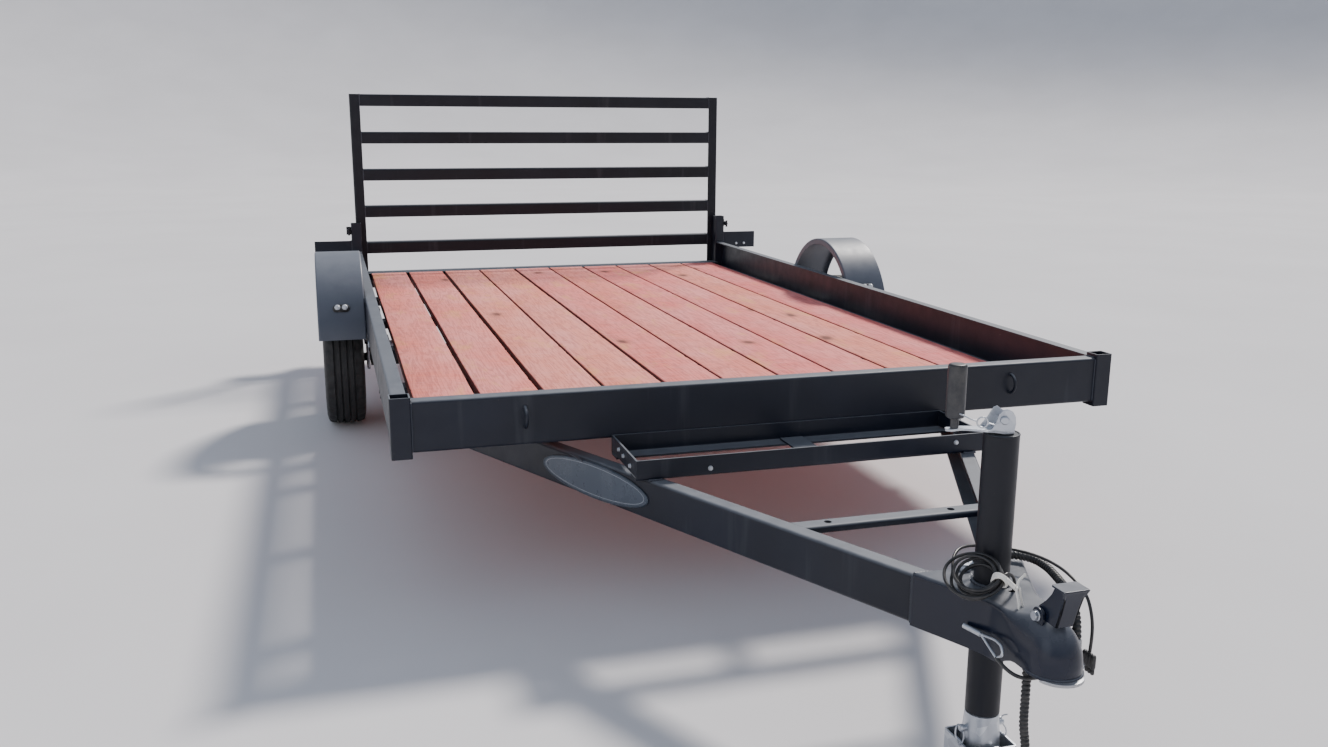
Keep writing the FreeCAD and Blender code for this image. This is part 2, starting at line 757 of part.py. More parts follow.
def make_axle():
    size = axle_size / 2
    beam = box(-axle_beam_half, axle_beam_half, axle_y - size, axle_y + size,
               axle_height - size, axle_height + size)
    inner = size - axle_wall
    reach = axle_beam_half - end_plate
    beam = beam.cut(box(-reach, reach, axle_y - inner, axle_y + inner,
                        axle_height - inner, axle_height + inner))
    extras = []
    for s in (-1, 1):
        extras.append(box(s * spring_x - leaf_width / 2, s * spring_x + leaf_width / 2,
                          axle_y - tie_plate_half, axle_y + tie_plate_half, axle_height + size, spring_base))
        extras.append(rod(spindle_radius, V(s * axle_beam_half, axle_y, axle_height),
                          V(s * spindle_end, axle_y, axle_height)))
    return {"axle_beam": beam.fuse(extras).removeSplitter()}


def turned(corners, radii):
    """A ring turned about the right wheel's axis from an outline of (x, radius) corners."""
    face = rounded_face(corners, radii, V(wheel_x, axle_y, axle_height), V(1, 0, 0), V(0, 0, 1))
    return face.revolve(V(0, axle_y, axle_height), V(1, 0, 0), 360)


def make_wheels():
    bead = rim_width / 2 - rim_wall - seat
    flange = bead_radius + rim_lip
    wide = tyre_width / 2
    tread = wide - shoulder_width
    edge = tyre_radius - shoulder_drop
    bulge = bead_radius + sidewall_rise
    side = [(bead, bead_radius), (bead, flange + rim_wall), (wide, bulge), (wide, edge), (tread, tyre_radius)]
    rounds = [0.0, 0.0, sidewall_round, shoulder_round, shoulder_round]
    tyre = turned([(-x, r) for x, r in side] + side[::-1], rounds + rounds[::-1])

    seat_radius = bead_radius - seat
    lip = rim_width / 2
    well = rim_well_half
    slope = well + rim_well_slope
    half_rim = [(lip, flange), (lip, seat_radius), (slope, seat_radius), (well, rim_well_radius)]
    rim_path = half_rim + [(-x, r) for x, r in half_rim[::-1]]
    axis_frame = (V(wheel_x, axle_y, axle_height), V(1, 0, 0), V(0, 0, 1))
    rim = folded_face(rim_path, rim_wall, 0.0, *axis_frame, sharp=True)
    rim = rim.revolve(V(0, axle_y, axle_height), V(1, 0, 0), 360)
    disc_x = hub_face
    back_x = disc_x - disc_dish
    weld_radius = rim_well_radius - rim_wall
    hub_hole = hub_radius + seat
    face_x = disc_x + disc_wall
    disc = turned([(disc_x, hub_hole), (disc_x, disc_flat), (back_x, weld_radius),
                   (back_x + disc_wall, weld_radius), (face_x, disc_flat), (face_x, hub_hole)], [0.0] * 6)
    wheel = rim.fuse(disc)

    bore = spindle_radius + hub_running_gap
    flange_back = hub_face - hub_flange_thick
    flange_front = hub_face - seat
    hub = turned([(hub_inner, bore), (hub_inner, hub_radius), (flange_back, hub_radius),
                  (flange_back, hub_flange_radius), (flange_front, hub_flange_radius),
                  (flange_front, hub_radius), (hub_outer, hub_radius), (hub_outer, bore)], [0.0] * 8)
    cap_radius = hub_radius - cap_step
    cap_end = hub_outer + cap_depth
    cap = turned([(hub_outer, 0), (hub_outer, cap_radius), (cap_end, cap_radius), (cap_end, 0)],
                 [0.0, 0.0, cap_round, 0.0])
    hub = hub.fuse(cap).removeSplitter()
    studs = []
    for k in range(stud_count):
        a = 2 * math.pi * (k + 0.5) / stud_count
        at = V(wheel_x, axle_y, axle_height) + V(0, math.sin(a), math.cos(a)) * (stud_circle / 2)
        tip = at + V(hub_face + stud_reach, 0, 0)
        studs.append(rod(stud_radius, at + V(flange_back, 0, 0), tip))
        wheel = wheel.cut(rod(stud_radius + seat, at, tip))
    hub = hub.fuse(studs).removeSplitter()
    nodes = {}
    for name, shape in (("tyre", tyre), ("wheel", wheel), ("hub", hub)):
        for side, piece in zip(("right", "left"), both_sides(shape)):
            nodes[name + "_" + side] = piece
    return nodes


def make_fenders():
    centre = V(half + seat, axle_y, fender_height)
    inner = fender_radius - fender_lip
    path = [(0, inner), (0, fender_radius), (fender_width, fender_radius), (fender_width, inner)]
    face = folded_face(path[::-1], fender_wall, bend_inside, centre, V(1, 0, 0), V(0, 0, 1))
    face.rotate(centre, V(1, 0, 0), -fender_sweep)
    fender = face.revolve(centre, V(1, 0, 0), 2 * fender_sweep)
    right, left = both_sides(fender)
    across = marker_width / 2
    up = marker_height / 2
    lamp = box(-across, across, -up, up, 0, marker_depth)
    lamp = lamp.makeFillet(up - 0.5, upright_edges(lamp))
    lamp = lamp.makeFillet(marker_round, [e for e in lamp.Edges if e.BoundBox.ZMin > marker_depth - 0.1])
    lamp.translate(V(half + seat + fender_width / 2, axle_y, fender_height + fender_radius + seat))
    lamp.rotate(centre, V(1, 0, 0), marker_angle)
    return {"fender_left": left, "fender_right": right, "marker_lamps": Part.makeCompound(both_sides(lamp))}


def make_gate():
    side = half - gate_inset
    gate_top = rail_top + gate_top_above
    post = angle(gate_member, gate_member, gate_wall, V(side, gate_front, gate_foot_bottom),
                 V(0, 1, 0), V(-1, 0, 0), V(0, 0, gate_top - gate_foot_bottom))
    bar_half = side - gate_member - seat
    bars = []
    foot_top = gate_foot_bottom + gate_bar_height
    for top in [gate_top - k * gate_bar_pitch for k in range(gate_open_bars)] + [foot_top]:
        bars.append(angle(gate_bar_height, gate_member, gate_wall, V(-bar_half, gate_front, top),
                          V(0, 0, -1), V(0, 1, 0), V(2 * bar_half, 0, 0)))
    keeper_z = rail_top + latch_above
    pin_x = half + post_proud_side + seat + latch_barrel_radius
    keeper = box(side + seat, pin_x + latch_barrel_radius, gate_front, gate_front + gate_wall,
                 keeper_z - keeper_half, keeper_z + keeper_half)
    pin_at = V(pin_x, bed_rear - latch_set, keeper_z)
    keeper = keeper.cut(rod(latch_rod_radius + 1, pin_at, pin_at + V(0, gate_stack, 0)))
    back = V(0, -1, 0)
    barrel = rod(latch_barrel_radius, pin_at + back * latch_barrel_length, pin_at)
    tail_at = pin_at + back * (latch_barrel_length + latch_tail)
    pin = rod(latch_rod_radius, tail_at, pin_at - back * 2 * latch_set)
    pull_at = pin_at + back * (latch_barrel_length + latch_pull_set)
    pull = rod(latch_pull_radius, pull_at - V(0, 0, latch_pull_half), pull_at + V(0, 0, latch_pull_half))
    latch = barrel.fuse([pin, pull]).removeSplitter()

    axis_z = hinge_height
    fixed = []
    moving = []
    pins = []
    for x in (hinge_inset - half, 0.0, half - hinge_inset):
        ring_span = knuckle_length + knuckle_gap
        for s in (-1, 1):
            x0 = x + s * ring_span - knuckle_length / 2
            x1 = x0 + knuckle_length
            ring = rod(hinge_radius, V(x0, hinge_y, axis_z), V(x1, hinge_y, axis_z))
            strap = box(x0, x1, bed_rear + seat, bed_rear + seat + hinge_strap,
                        axis_z, axis_z + hinge_strap_rise)
            piece = ring.fuse(strap).removeSplitter()
            fixed.append(piece.cut(rod(pin_radius, V(x0, hinge_y, axis_z), V(x1, hinge_y, axis_z))))
        x0 = x - knuckle_length / 2
        x1 = x + knuckle_length / 2
        ring = rod(hinge_radius, V(x0, hinge_y, axis_z), V(x1, hinge_y, axis_z))
        strap_y = gate_front + gate_wall + seat
        strap = box(x0, x1, strap_y, strap_y + hinge_strap,
                    axis_z, foot_top - gate_wall - bend_inside - seat)
        piece = ring.fuse(strap).removeSplitter()
        moving.append(piece.cut(rod(pin_radius + pin_gap, V(x0, hinge_y, axis_z), V(x1, hinge_y, axis_z))))
        reach = V(1.5 * knuckle_length + knuckle_gap + hinge_pin_past, 0, 0)
        pins.append(rod(pin_radius, V(x, hinge_y, axis_z) - reach, V(x, hinge_y, axis_z) + reach))
    return {"gate_uprights": Part.makeCompound(both_sides(post)), "gate_bars": Part.makeCompound(bars),
            "gate_keepers": Part.makeCompound(both_sides(keeper)),
            "gate_hinge_straps": Part.makeCompound(moving), "sill_hinge_straps": Part.makeCompound(fixed),
            "gate_hinge_pins": Part.makeCompound(pins), "gate_latches": Part.makeCompound(both_sides(latch))}


def make_lamps():
    x0 = half + post_proud_side + seat
    x1 = half + post_proud_side + bracket_reach
    y0 = bed_rear - bracket_back
    top = rail_top + bracket_top_above
    plate = angle(bracket_reach - seat, bracket_leg, bracket_wall, V(x0, y0, top - bracket_height),
                  V(1, 0, 0), V(0, 1, 0), V(0, 0, bracket_height))
    lamp_x = x1 - lamp_set
    lamp_y = y0 + bracket_wall + seat
    lamp = box(lamp_x - lamp_width, lamp_x, lamp_y, lamp_y + lamp_depth,
               top - (bracket_height + lamp_height) / 2, top - (bracket_height - lamp_height) / 2)
    lamp = lamp.makeFillet(lamp_round, [e for e in lamp.Edges if abs(e.tangentAt(e.FirstParameter).y) > 0.9])
    return {"tail_lamp_brackets": Part.makeCompound(both_sides(plate)),
            "tail_lamps": Part.makeCompound(both_sides(lamp))}


def make_front_fittings():
    loops = []
    for x in (loop_inset - half, half - loop_inset):
        ring = Part.makeTorus(loop_radius, loop_rod_radius, V(x, front - seat, loop_height), V(1, 0, 0))
        outward = box(x - loop_radius, x + loop_radius, front - seat - 2 * loop_radius, front - seat,
                      0, rail_top)
        loops.append(ring.common(outward))
    run = V(math.sin(tongue_angle), math.cos(tongue_angle), 0)
    out = V(run.y, -run.x, 0)
    at = V(tongue_x(front - sign_set), front - sign_set, tongue_bottom + tongue_height / 2)
    at = at + out * seat
    curve = Part.Ellipse(at + run * sign_half_length, at + V(0, 0, sign_half_height), at)
    sign = Part.Face(Part.Wire(curve.toShape())).extrude(out * sign_thick)
    return {"tie_down_loops": Part.makeCompound(loops), "blank_sign": sign.mirror(V(0, 0, 0), V(1, 0, 0))}


def make_cords():
    tilt = math.radians(hank_tilt)
    centre, plug_top, coil_start, tail_end, left_end, left_before = from_jack(
        [hank_centre, lead_route[-1], right_route[0], tail_route[-1], left_route[-1], left_route[-2]])
    away = V(centre.x, centre.y - jack_y, 0).normalize()
    hank = Part.makeTorus(hank_radius, hank_section, centre, away * math.sin(tilt) + V(0, 0, math.cos(tilt)))
    plug = box(-plug_depth / 2, plug_depth / 2, -plug_width / 2, plug_width / 2, -plug_length, 0)
    plug = plug.makeFillet(plug_round, upright_edges(plug))
    plug.translate(plug_top)

    base = V(*anchor_place, tongue_top + seat + coupler_wall + seat) + V(0, jack_y, 0)
    top = base + V(0, 0, anchor_thick)
    eye = rod(anchor_radius, base, top).fuse(rod(anchor_bolt_radius, top, top + V(0, 0, anchor_bolt_height)))
    toward = V(coil_start.x - base.x, coil_start.y - base.y, 0).normalize()
    neck = base + V(0, 0, ferrule_radius) + toward * ferrule_start
    anchor = eye.fuse(rod(ferrule_radius, neck, coil_start)).removeSplitter()

    ferrule = from_jack(hook_ferrule)
    bend = cord("safety_hook_right", hook_ferrule[1:] + hook_bend + tail_route[-1:], hook_wire)
    latch = rod(hook_wire, ferrule[1], tail_end)
    hook = rod(ferrule_radius, *ferrule).fuse([bend, latch]).removeSplitter()
    return {"wiring_feed": cord("wiring_feed", feed_route, lead_radius),
            "wiring_coil": hank,
            "wiring_lead": cord("wiring_lead", lead_route, lead_radius),
            "wiring_plug": plug,
            "safety_cable_anchor": anchor,
            "safety_cable_right": cord("safety_cable_right", right_route, curl_radius),
            "safety_tail_right": cord("safety_tail_right", tail_route, tail_radius),
            "safety_hook_right": hook,
            "safety_cable_left": cord("safety_cable_left", left_route, curl_radius),
            "safety_hook_left": floor_hook(left_end, left_end - left_before)}


def floor_hook(start, heading):
    """A hook of bent wire that lies flat on the floor: a ferrule, then an open oval."""
    heading = V(heading.x, heading.y, 0).normalize()
    across = V(-heading.y, heading.x, 0)
    half_width = floor_hook_width / 2
    neck = start + heading * 2 * ferrule_radius
    ferrule = rod(ferrule_radius, start, neck)
    start_of_wire = neck - V(0, jack_y, 0)
    places = [(0, 0), (0.22, 0.6), (0.5, 1), (0.8, 0.9), (1, 0.3), (1, -0.4), (0.84, -0.9), (0.6, -1)]
    route = [tuple(start_of_wire + heading * (a * floor_hook_length) + across * (b * half_width))
             for a, b in places]
    return ferrule.fuse(cord("safety_hook_left", route, hook_wire)).removeSplitter()


def main():
    os.makedirs("parts", exist_ok=True)
    nodes = {}
    for make in (make_rails, make_posts, make_floor, make_tongue, make_tray, make_jack,
                 make_coupler, make_springs, make_axle, make_wheels, make_fenders, make_gate, make_lamps,
                 make_front_fittings, make_cords):
        nodes.update(make())
    for name, shape in nodes.items():
        shape.exportStep("parts/" + name + ".step")
        bounds = shape.BoundBox
        sides = (bounds.XMin, bounds.XMax, bounds.YMin, bounds.YMax, bounds.ZMin, bounds.ZMax)
        print(name, shape.isValid(), len(shape.Solids), round(shape.Volume), [round(v, 1) for v in sides])


main()
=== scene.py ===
import math

import bpy
from mathutils import Matrix, Vector, noise


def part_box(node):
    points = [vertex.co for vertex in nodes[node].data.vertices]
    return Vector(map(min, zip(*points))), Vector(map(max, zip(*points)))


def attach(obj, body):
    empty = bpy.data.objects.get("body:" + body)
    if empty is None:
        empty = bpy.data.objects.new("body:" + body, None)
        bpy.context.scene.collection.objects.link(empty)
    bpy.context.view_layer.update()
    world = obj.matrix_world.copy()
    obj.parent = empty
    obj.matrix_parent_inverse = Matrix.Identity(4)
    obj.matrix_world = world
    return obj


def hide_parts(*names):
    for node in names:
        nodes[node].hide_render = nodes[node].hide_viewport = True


# Looks for a single-axle utility trailer: metres, +Z up, the coupler towards -Y.

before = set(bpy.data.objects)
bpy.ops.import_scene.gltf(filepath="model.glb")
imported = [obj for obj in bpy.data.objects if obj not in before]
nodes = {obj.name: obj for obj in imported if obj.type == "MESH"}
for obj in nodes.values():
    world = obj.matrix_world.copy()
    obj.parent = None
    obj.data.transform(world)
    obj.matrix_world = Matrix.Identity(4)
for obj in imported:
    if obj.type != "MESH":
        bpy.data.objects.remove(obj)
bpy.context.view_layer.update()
MM = 0.001
X, Y, Z = Vector((1, 0, 0)), Vector((0, 1, 0)), Vector((0, 0, 1))

# Places taken from the part's source
front = -0.876
bed_rear = 1.814
half = 0.800
post_in = 0.764
axle = Vector((0.870, 0.733, 0.210))
jack = Vector((0, -1.671, 0))
ball = Vector((0, -1.826, 0.270))
tongue_slope = (0.436 - 0.0602) / 0.795
board_pitch = 0.1476


# ---------------------------------------------------------------- camera

def look(yaw, pitch, roll):
    """Rotation of a camera turned right, tilted down and rolled, in degrees, from looking along +Y."""
    turn = Matrix.Rotation(math.radians(-yaw), 4, "Z")
    tilt = Matrix.Rotation(math.radians(90 - pitch), 4, "X")
    return (turn @ tilt @ Matrix.Rotation(math.radians(roll), 4, "Z")).to_euler()


camera = bpy.data.objects.new("camera", bpy.data.cameras.new("camera"))
camera.data.sensor_width = 36.0
camera.data.lens = 30.57
camera.data.clip_end = 200
camera.location = (-0.8948, -3.0071, 0.9592)
camera.rotation_euler = look(16.563, 12.522, 0.218)
bpy.context.collection.objects.link(camera)
bpy.context.scene.camera = camera


# ---------------------------------------------------------------- materials

class Skin:
    """A material in the making: its shader, its tone so far and the piece's own coordinates."""

    def __init__(self, name):
        self.material = bpy.data.materials.new(name)
        self.material.use_nodes = True
        self.tree = self.material.node_tree
        self.tree.nodes.clear()
        self.shader = self.put("BsdfPrincipled")
        self.put("OutputMaterial", {"Surface": self.shader.outputs[0]})
        self.where = self.put("TexCoord").outputs["Object"]
        self.colour = None

    def join(self, value, socket):
        if isinstance(value, bpy.types.NodeSocket):
            self.tree.links.new(value, socket)
        else:
            socket.default_value = value

    def put(self, kind, inputs=None, **settings):
        """Adds a shader node: sockets are joined, other values are set on its own sockets."""
        made = self.tree.nodes.new("ShaderNode" + kind)
        for key, value in settings.items():
            setattr(made, key, value)
        for key, value in (inputs or {}).items():
            self.join(value, made.inputs[key])
        return made

    def grain(self, scale, detail=4.0, rough=0.55, stretch=(1, 1, 1)):
        """Noise on the piece's own coordinates, stretched along its axes."""
        mapped = self.put("Mapping", {"Vector": self.where, "Scale": stretch}).outputs[0]
        return self.put("TexNoise", {"Vector": mapped, "Scale": scale, "Detail": detail,
                                     "Roughness": rough}).outputs["Fac"]

    def remap(self, value, low, high, to_low=0.0, to_high=1.0):
        return self.put("MapRange", {"Value": value, "From Min": low, "From Max": high,
                                     "To Min": to_low, "To Max": to_high}).outputs[0]

    def maths(self, how, first, second=0.0):
        return self.put("Math", {0: first, 1: second}, operation=how).outputs[0]

    def times(self, first, second):
        return self.maths("MULTIPLY", first, second)

    def mix(self, factor, first, second):
        first, second = ((*c, 1.0) if isinstance(c, tuple) else c for c in (first, second))
        return self.put("Mix", {0: factor, 6: first, 7: second}, data_type="RGBA").outputs[2]

    def lay(self, factor, colour):
        """Lays a colour over the tone so far."""
        self.colour = self.mix(factor, self.colour, colour)

    def edges(self, radius):
        """Bright where the surface turns over an edge, then the softened normal and the plain one."""
        soft = self.put("Bevel", {"Radius": radius}, samples=4).outputs[0]
        flat = self.put("NewGeometry").outputs["Normal"]
        along = self.put("VectorMath", {0: soft, 1: flat}, operation="DOT_PRODUCT").outputs["Value"]
        return self.remap(along, 0.995, 0.86), soft, flat

    def finish(self, roughness, relief, normal, strength, distance, **constants):
        """Joins the tone, the roughness and a fine relief to the shader, and sets its constant sockets."""
        bump = {"Height": relief, "Strength": strength, "Distance": distance}
        if normal is not None:
            bump["Normal"] = normal
        for socket, value in (("Base Color", self.colour), ("Roughness", roughness),
                              ("Normal", self.put("Bump", bump).outputs[0])):
            self.join(value, self.shader.inputs[socket])
        for socket, value in constants.items():
            self.shader.inputs[socket.replace("_", " ")].default_value = value
        return self.material


def painted(name, base, lit, rough=(0.34, 0.5), dust=(0.26, 0.28, 0.31), dust_and_sheen_amount=0.22, wear=0.35,
            worn=(0.17, 0.18, 0.20), peel=0.10, radius=0.0016, metallic=0.0, chipped=0.7, specular=0.5):
    """Paint on steel: cloudy tone, dust and a painted sheen of the sky on upward faces, rubbed edges, small chips and
    orange peel.
    """
    skin = Skin(name)
    cloud = skin.grain(3.5, 5)
    fine = skin.grain(26, 6, 0.65)
    skin.colour = skin.mix(skin.remap(cloud, 0.35, 0.68), base, lit)
    edge, soft, flat = skin.edges(radius)
    # Upward faces lightened with the dust colour: partly dust, partly a painted sheen of the sky on the tops
    upward = skin.remap(skin.put("SeparateXYZ", {"Vector": flat}).outputs["Z"], 0.35, 0.95)
    top_dust_and_sheen = skin.times(skin.times(upward, skin.remap(fine, 0.30, 0.70, 0.7, 1.0)), dust_and_sheen_amount)
    skin.lay(top_dust_and_sheen, dust)
    streak = skin.grain(18, 4, 0.6, (1, 1, 0.08))
    skin.lay(skin.remap(streak, 0.60, 0.80, 0, 0.10), dust)
    skin.lay(skin.times(skin.times(edge, skin.remap(fine, 0.40, 0.62)), wear), worn)
    chips = skin.times(skin.remap(skin.grain(95, 3, 0.5), 0.735, 0.76), skin.remap(cloud, 0.5, 0.7))
    skin.lay(skin.times(chips, chipped), (0.19, 0.16, 0.14))
    gloss = skin.maths("ADD", skin.remap(fine, 0.3, 0.7, *rough), skin.times(top_dust_and_sheen, 0.25))
    return skin.finish(gloss, skin.grain(420, 2, 0.5), soft, peel, 0.0006, Metallic=metallic,
                       Specular_IOR_Level=specular)


def plated(name, base, shade, rough=(0.26, 0.46), stain=0.25):
    """Zinc plate or bare steel: cloudy grey metal with small spangles, dull stains, fine scratches and painted
    highlights along its edges.
    """
    skin = Skin(name)
    spangle = skin.put("TexVoronoi", {"Vector": skin.where, "Scale": 60, "Randomness": 1.0})
    cells = skin.put("SeparateColor", {"Color": spangle.outputs["Color"]}).outputs[0]
    cloud = skin.grain(14, 5, 0.6)
    skin.colour = skin.mix(cells, base, shade)
    skin.lay(skin.remap(cloud, 0.5, 0.75, 0, stain), (0.16, 0.15, 0.13))
    edge, soft, flat = skin.edges(0.0009)
    # Painted highlight: the edges are lightened towards white
    skin.lay(skin.times(edge, 0.4), (0.8, 0.8, 0.8))
    gloss = skin.remap(skin.maths("ADD", cloud, skin.times(cells, 0.3)), 0.3, 1.0, *rough)
    return skin.finish(gloss, skin.grain(300, 3, 0.5, (1, 1, 0.15)), soft, 0.12, 0.0004, Metallic=0.85)


def moulded(name, base, lit, rough=(0.45, 0.62), dusty=0.18, relief=0.25):
    """Rubber or moulded plastic: mottled tone, dust in patches, a fine grained skin and painted highlights along its
    edges.
    """
    skin = Skin(name)
    fine = skin.grain(60, 5, 0.65)
    skin.colour = skin.mix(skin.remap(skin.grain(9, 5, 0.6), 0.35, 0.65), base, lit)
    skin.lay(skin.times(skin.remap(fine, 0.42, 0.72), dusty), (0.32, 0.30, 0.27))
    edge, soft, flat = skin.edges(0.0008)
    # Painted highlight: the edges are lightened with three times the lighter tone
    skin.lay(skin.times(edge, 0.25), tuple(min(1, 3 * c) for c in lit))
    return skin.finish(skin.remap(fine, 0.3, 0.7, *rough), skin.grain(260, 3, 0.5), soft, relief, 0.0005)


def lens(name, base, deep):
    """Coloured lamp plastic: deep colour, moulded ribs seen through a glossy skin."""
    skin = Skin(name)
    ribs = skin.put("TexWave", {"Vector": skin.where, "Scale": 90, "Distortion": 0.2},
                    bands_direction="X").outputs["Fac"]
    cloud = skin.grain(40, 3)
    skin.colour = skin.mix(ribs, deep, base)
    skin.lay(skin.remap(cloud, 0.55, 0.8, 0, 0.12), (0.4, 0.38, 0.35))
    return skin.finish(skin.remap(cloud, 0.3, 0.7, 0.06, 0.2), ribs, None, 0.25, 0.0006,
                       Coat_Weight=0.6, Coat_Roughness=0.08)


def sawn_wood(name, left):
    """Stained rough-sawn boards along Y: a tone for each board, rings, knots, saw marks and painted shade on their
    sides.
    """
    skin = Skin(name)
    along_x = skin.put("SeparateXYZ", {"Vector": skin.where}).outputs["X"]
    index = skin.maths("FLOOR", skin.maths("DIVIDE", skin.maths("SUBTRACT", along_x, left), board_pitch))
    tone = skin.put("TexWhiteNoise", {"W": index}, noise_dimensions="1D").outputs["Color"]
    tones = skin.put("SeparateColor", {"Color": tone}).outputs
    shift = skin.put("CombineXYZ", {"X": skin.times(tones[0], 9.0), "Y": skin.times(tones[1], 7.0)})
    # from here on each board has coordinates of its own
    skin.where = skin.put("VectorMath", {0: skin.where, 1: shift.outputs[0]}, operation="ADD").outputs[0]

    rings = skin.grain(5.0, 5, 0.55, (3.2, 0.22, 1.2))
    bands = skin.remap(skin.maths("SINE", skin.times(rings, 95.0)), -1.0, 1.0)
    fibre = skin.grain(60, 6, 0.7, (6, 0.18, 4))
    cross = skin.grain(34, 5, 0.7, (0.25, 5.5, 1))
    cloud = skin.grain(4.0, 5, 0.6, (1.6, 0.7, 1))
    red, orange, pale, dark = (0.86, 0.185, 0.170), (0.88, 0.300, 0.180), (0.92, 0.39, 0.37), (0.36, 0.080, 0.070)
    skin.colour = skin.mix(skin.remap(tones[2], 0.1, 0.9, 0.0, 0.75), red, orange)
    for mask, low, high, most, colour in ((cloud, 0.36, 0.66, 0.55, pale), (bands, 0.45, 1.0, 0.36, dark),
                                          (fibre, 0.52, 0.75, 0.55, dark), (cross, 0.51, 0.66, 0.55, pale)):
        skin.lay(skin.remap(mask, low, high, 0.0, most), colour)
    sawn = skin.remap(skin.grain(48, 3, 0.6, (0.12, 6.5, 1)), 0.45, 0.33)
    sawn = skin.times(sawn, skin.remap(cloud, 0.62, 0.42, 0.15, 1.0))
    skin.lay(skin.times(sawn, 0.50), (0.42, 0.10, 0.085))
    patches = skin.grain(7.0, 4, 0.6, (2.0, 0.8, 1))
    skin.lay(skin.remap(patches, 0.56, 0.70, 0.0, 0.50), (0.84, 0.40, 0.15))

    spread = skin.put("Mapping", {"Vector": skin.where, "Scale": (1.0, 0.55, 1.0)}).outputs[0]
    warp = skin.put("TexNoise", {"Vector": spread, "Scale": 11.0, "Detail": 3.0}).outputs["Fac"]
    bent = skin.put("VectorMath", {0: spread, 1: skin.times(warp, 0.05)}, operation="ADD").outputs[0]
    knots = skin.put("TexVoronoi", {"Vector": bent, "Scale": 4.2, "Randomness": 1.0}, voronoi_dimensions="2D")
    pick = skin.put("SeparateColor", {"Color": knots.outputs["Color"]}).outputs[0]
    chosen = skin.remap(pick, 0.70, 0.71)
    for far, near, most, colour in ((0.16, 0.07, 0.35, (0.42, 0.15, 0.09)), (0.085, 0.03, 0.85, (0.13, 0.05, 0.035))):
        knot = skin.times(skin.remap(knots.outputs["Distance"], far, near), chosen)
        skin.lay(skin.times(knot, most), colour)
    specks = skin.grain(160, 2, 0.5, (1, 0.5, 1))
    skin.lay(skin.remap(specks, 0.70, 0.76, 0.0, 0.6), (0.11, 0.05, 0.04))

    flat = skin.put("NewGeometry").outputs["Normal"]
    normal = skin.put("SeparateXYZ", {"Vector": flat})
    # Painted shade: the boards' upright sides, down in the gaps between them, are darkened
    side = skin.remap(skin.maths("ABSOLUTE", normal.outputs["Z"]), 0.7, 0.2)
    skin.lay(skin.times(side, 0.85), (0.055, 0.018, 0.015))
    relief = skin.maths("ADD", skin.times(fibre, 0.8), skin.times(cross, 0.8))
    relief = skin.maths("ADD", relief, skin.times(bands, 0.35))
    soft = skin.put("Bevel", {"Radius": 0.0018}, samples=4).outputs[0]
    return skin.finish(skin.remap(fibre, 0.3, 0.7, 0.72, 0.92), relief, soft, 0.55, 0.0012,
                       Specular_IOR_Level=0.25)


paint = painted("frame_paint", (0.0040, 0.0060, 0.0135), (0.0075, 0.0110, 0.0230), dust_and_sheen_amount=0.60, wear=0.30,
                specular=0.36)
gate_paint = painted("gate_paint", (0.0035, 0.0045, 0.0085), (0.0065, 0.0085, 0.0155), wear=0.18, specular=0.3)
# The fenders carry the frame's dark paint; their much lighter colour here is a painted sheen of the sky
fender_paint = painted("fender_paint", (0.060, 0.070, 0.095), (0.080, 0.092, 0.122), dust_and_sheen_amount=0.50, wear=0.5,
                       rough=(0.30, 0.40), worn=(0.4, 0.43, 0.47))
coupler_paint = painted("coupler_paint", (0.0030, 0.0060, 0.0170), (0.0050, 0.0090, 0.0240), rough=(0.20, 0.27),
                        dust_and_sheen_amount=0.42, peel=0.06, chipped=0.12, wear=0.24, specular=0.4)
jack_paint = painted("jack_paint", (0.0060, 0.0070, 0.0115), (0.0100, 0.0115, 0.0175), rough=(0.36, 0.48),
                     peel=0.12, specular=0.3)
spring_paint = painted("spring_paint", (0.012, 0.012, 0.013), (0.028, 0.026, 0.025), rough=(0.5, 0.7),
                       dust_and_sheen_amount=0.5, wear=0.5, worn=(0.16, 0.11, 0.08))
rim_paint = painted("rim_paint", (0.50, 0.51, 0.52), (0.62, 0.63, 0.64), rough=(0.32, 0.48), wear=0.3,
                    worn=(0.3, 0.29, 0.28), dust=(0.32, 0.29, 0.25), peel=0.08)
bead_paint = painted("weld_bead_paint", (0.014, 0.018, 0.030), (0.040, 0.048, 0.068), rough=(0.28, 0.42),
                     radius=0.0004, peel=0.2)
zinc = plated("zinc_plate", (0.62, 0.65, 0.69), (0.44, 0.47, 0.52))
hub_metal = plated("hub_metal", (0.40, 0.41, 0.42), (0.26, 0.27, 0.28), rough=(0.34, 0.55), stain=0.5)
rubber = moulded("tyre_rubber", (0.013, 0.013, 0.014), (0.019, 0.019, 0.020), rough=(0.60, 0.76), dusty=0.07,
                 relief=0.22)
grip_plastic = moulded("grip_plastic", (0.016, 0.017, 0.020), (0.040, 0.042, 0.048), rough=(0.35, 0.5), dusty=0.12)
housing_plastic = moulded("housing_plastic", (0.010, 0.010, 0.011), (0.020, 0.020, 0.022), rough=(0.35, 0.5))
cord_black = moulded("cord_black", (0.008, 0.008, 0.009), (0.018, 0.018, 0.020), rough=(0.30, 0.45), dusty=0.14,
                     relief=0.12)
tie_white = moulded("tie_cream", (0.80, 0.77, 0.68), (0.88, 0.86, 0.80), rough=(0.4, 0.6), dusty=0.06)
sign_metal = painted("sign_blank", (0.060, 0.078, 0.105), (0.105, 0.130, 0.165), rough=(0.22, 0.36), metallic=0.3,
                     wear=0.4, worn=(0.5, 0.52, 0.55), dust_and_sheen_amount=0.1)
sign_edge = painted("sign_edge", (0.020, 0.035, 0.055), (0.035, 0.06, 0.085), rough=(0.25, 0.4))
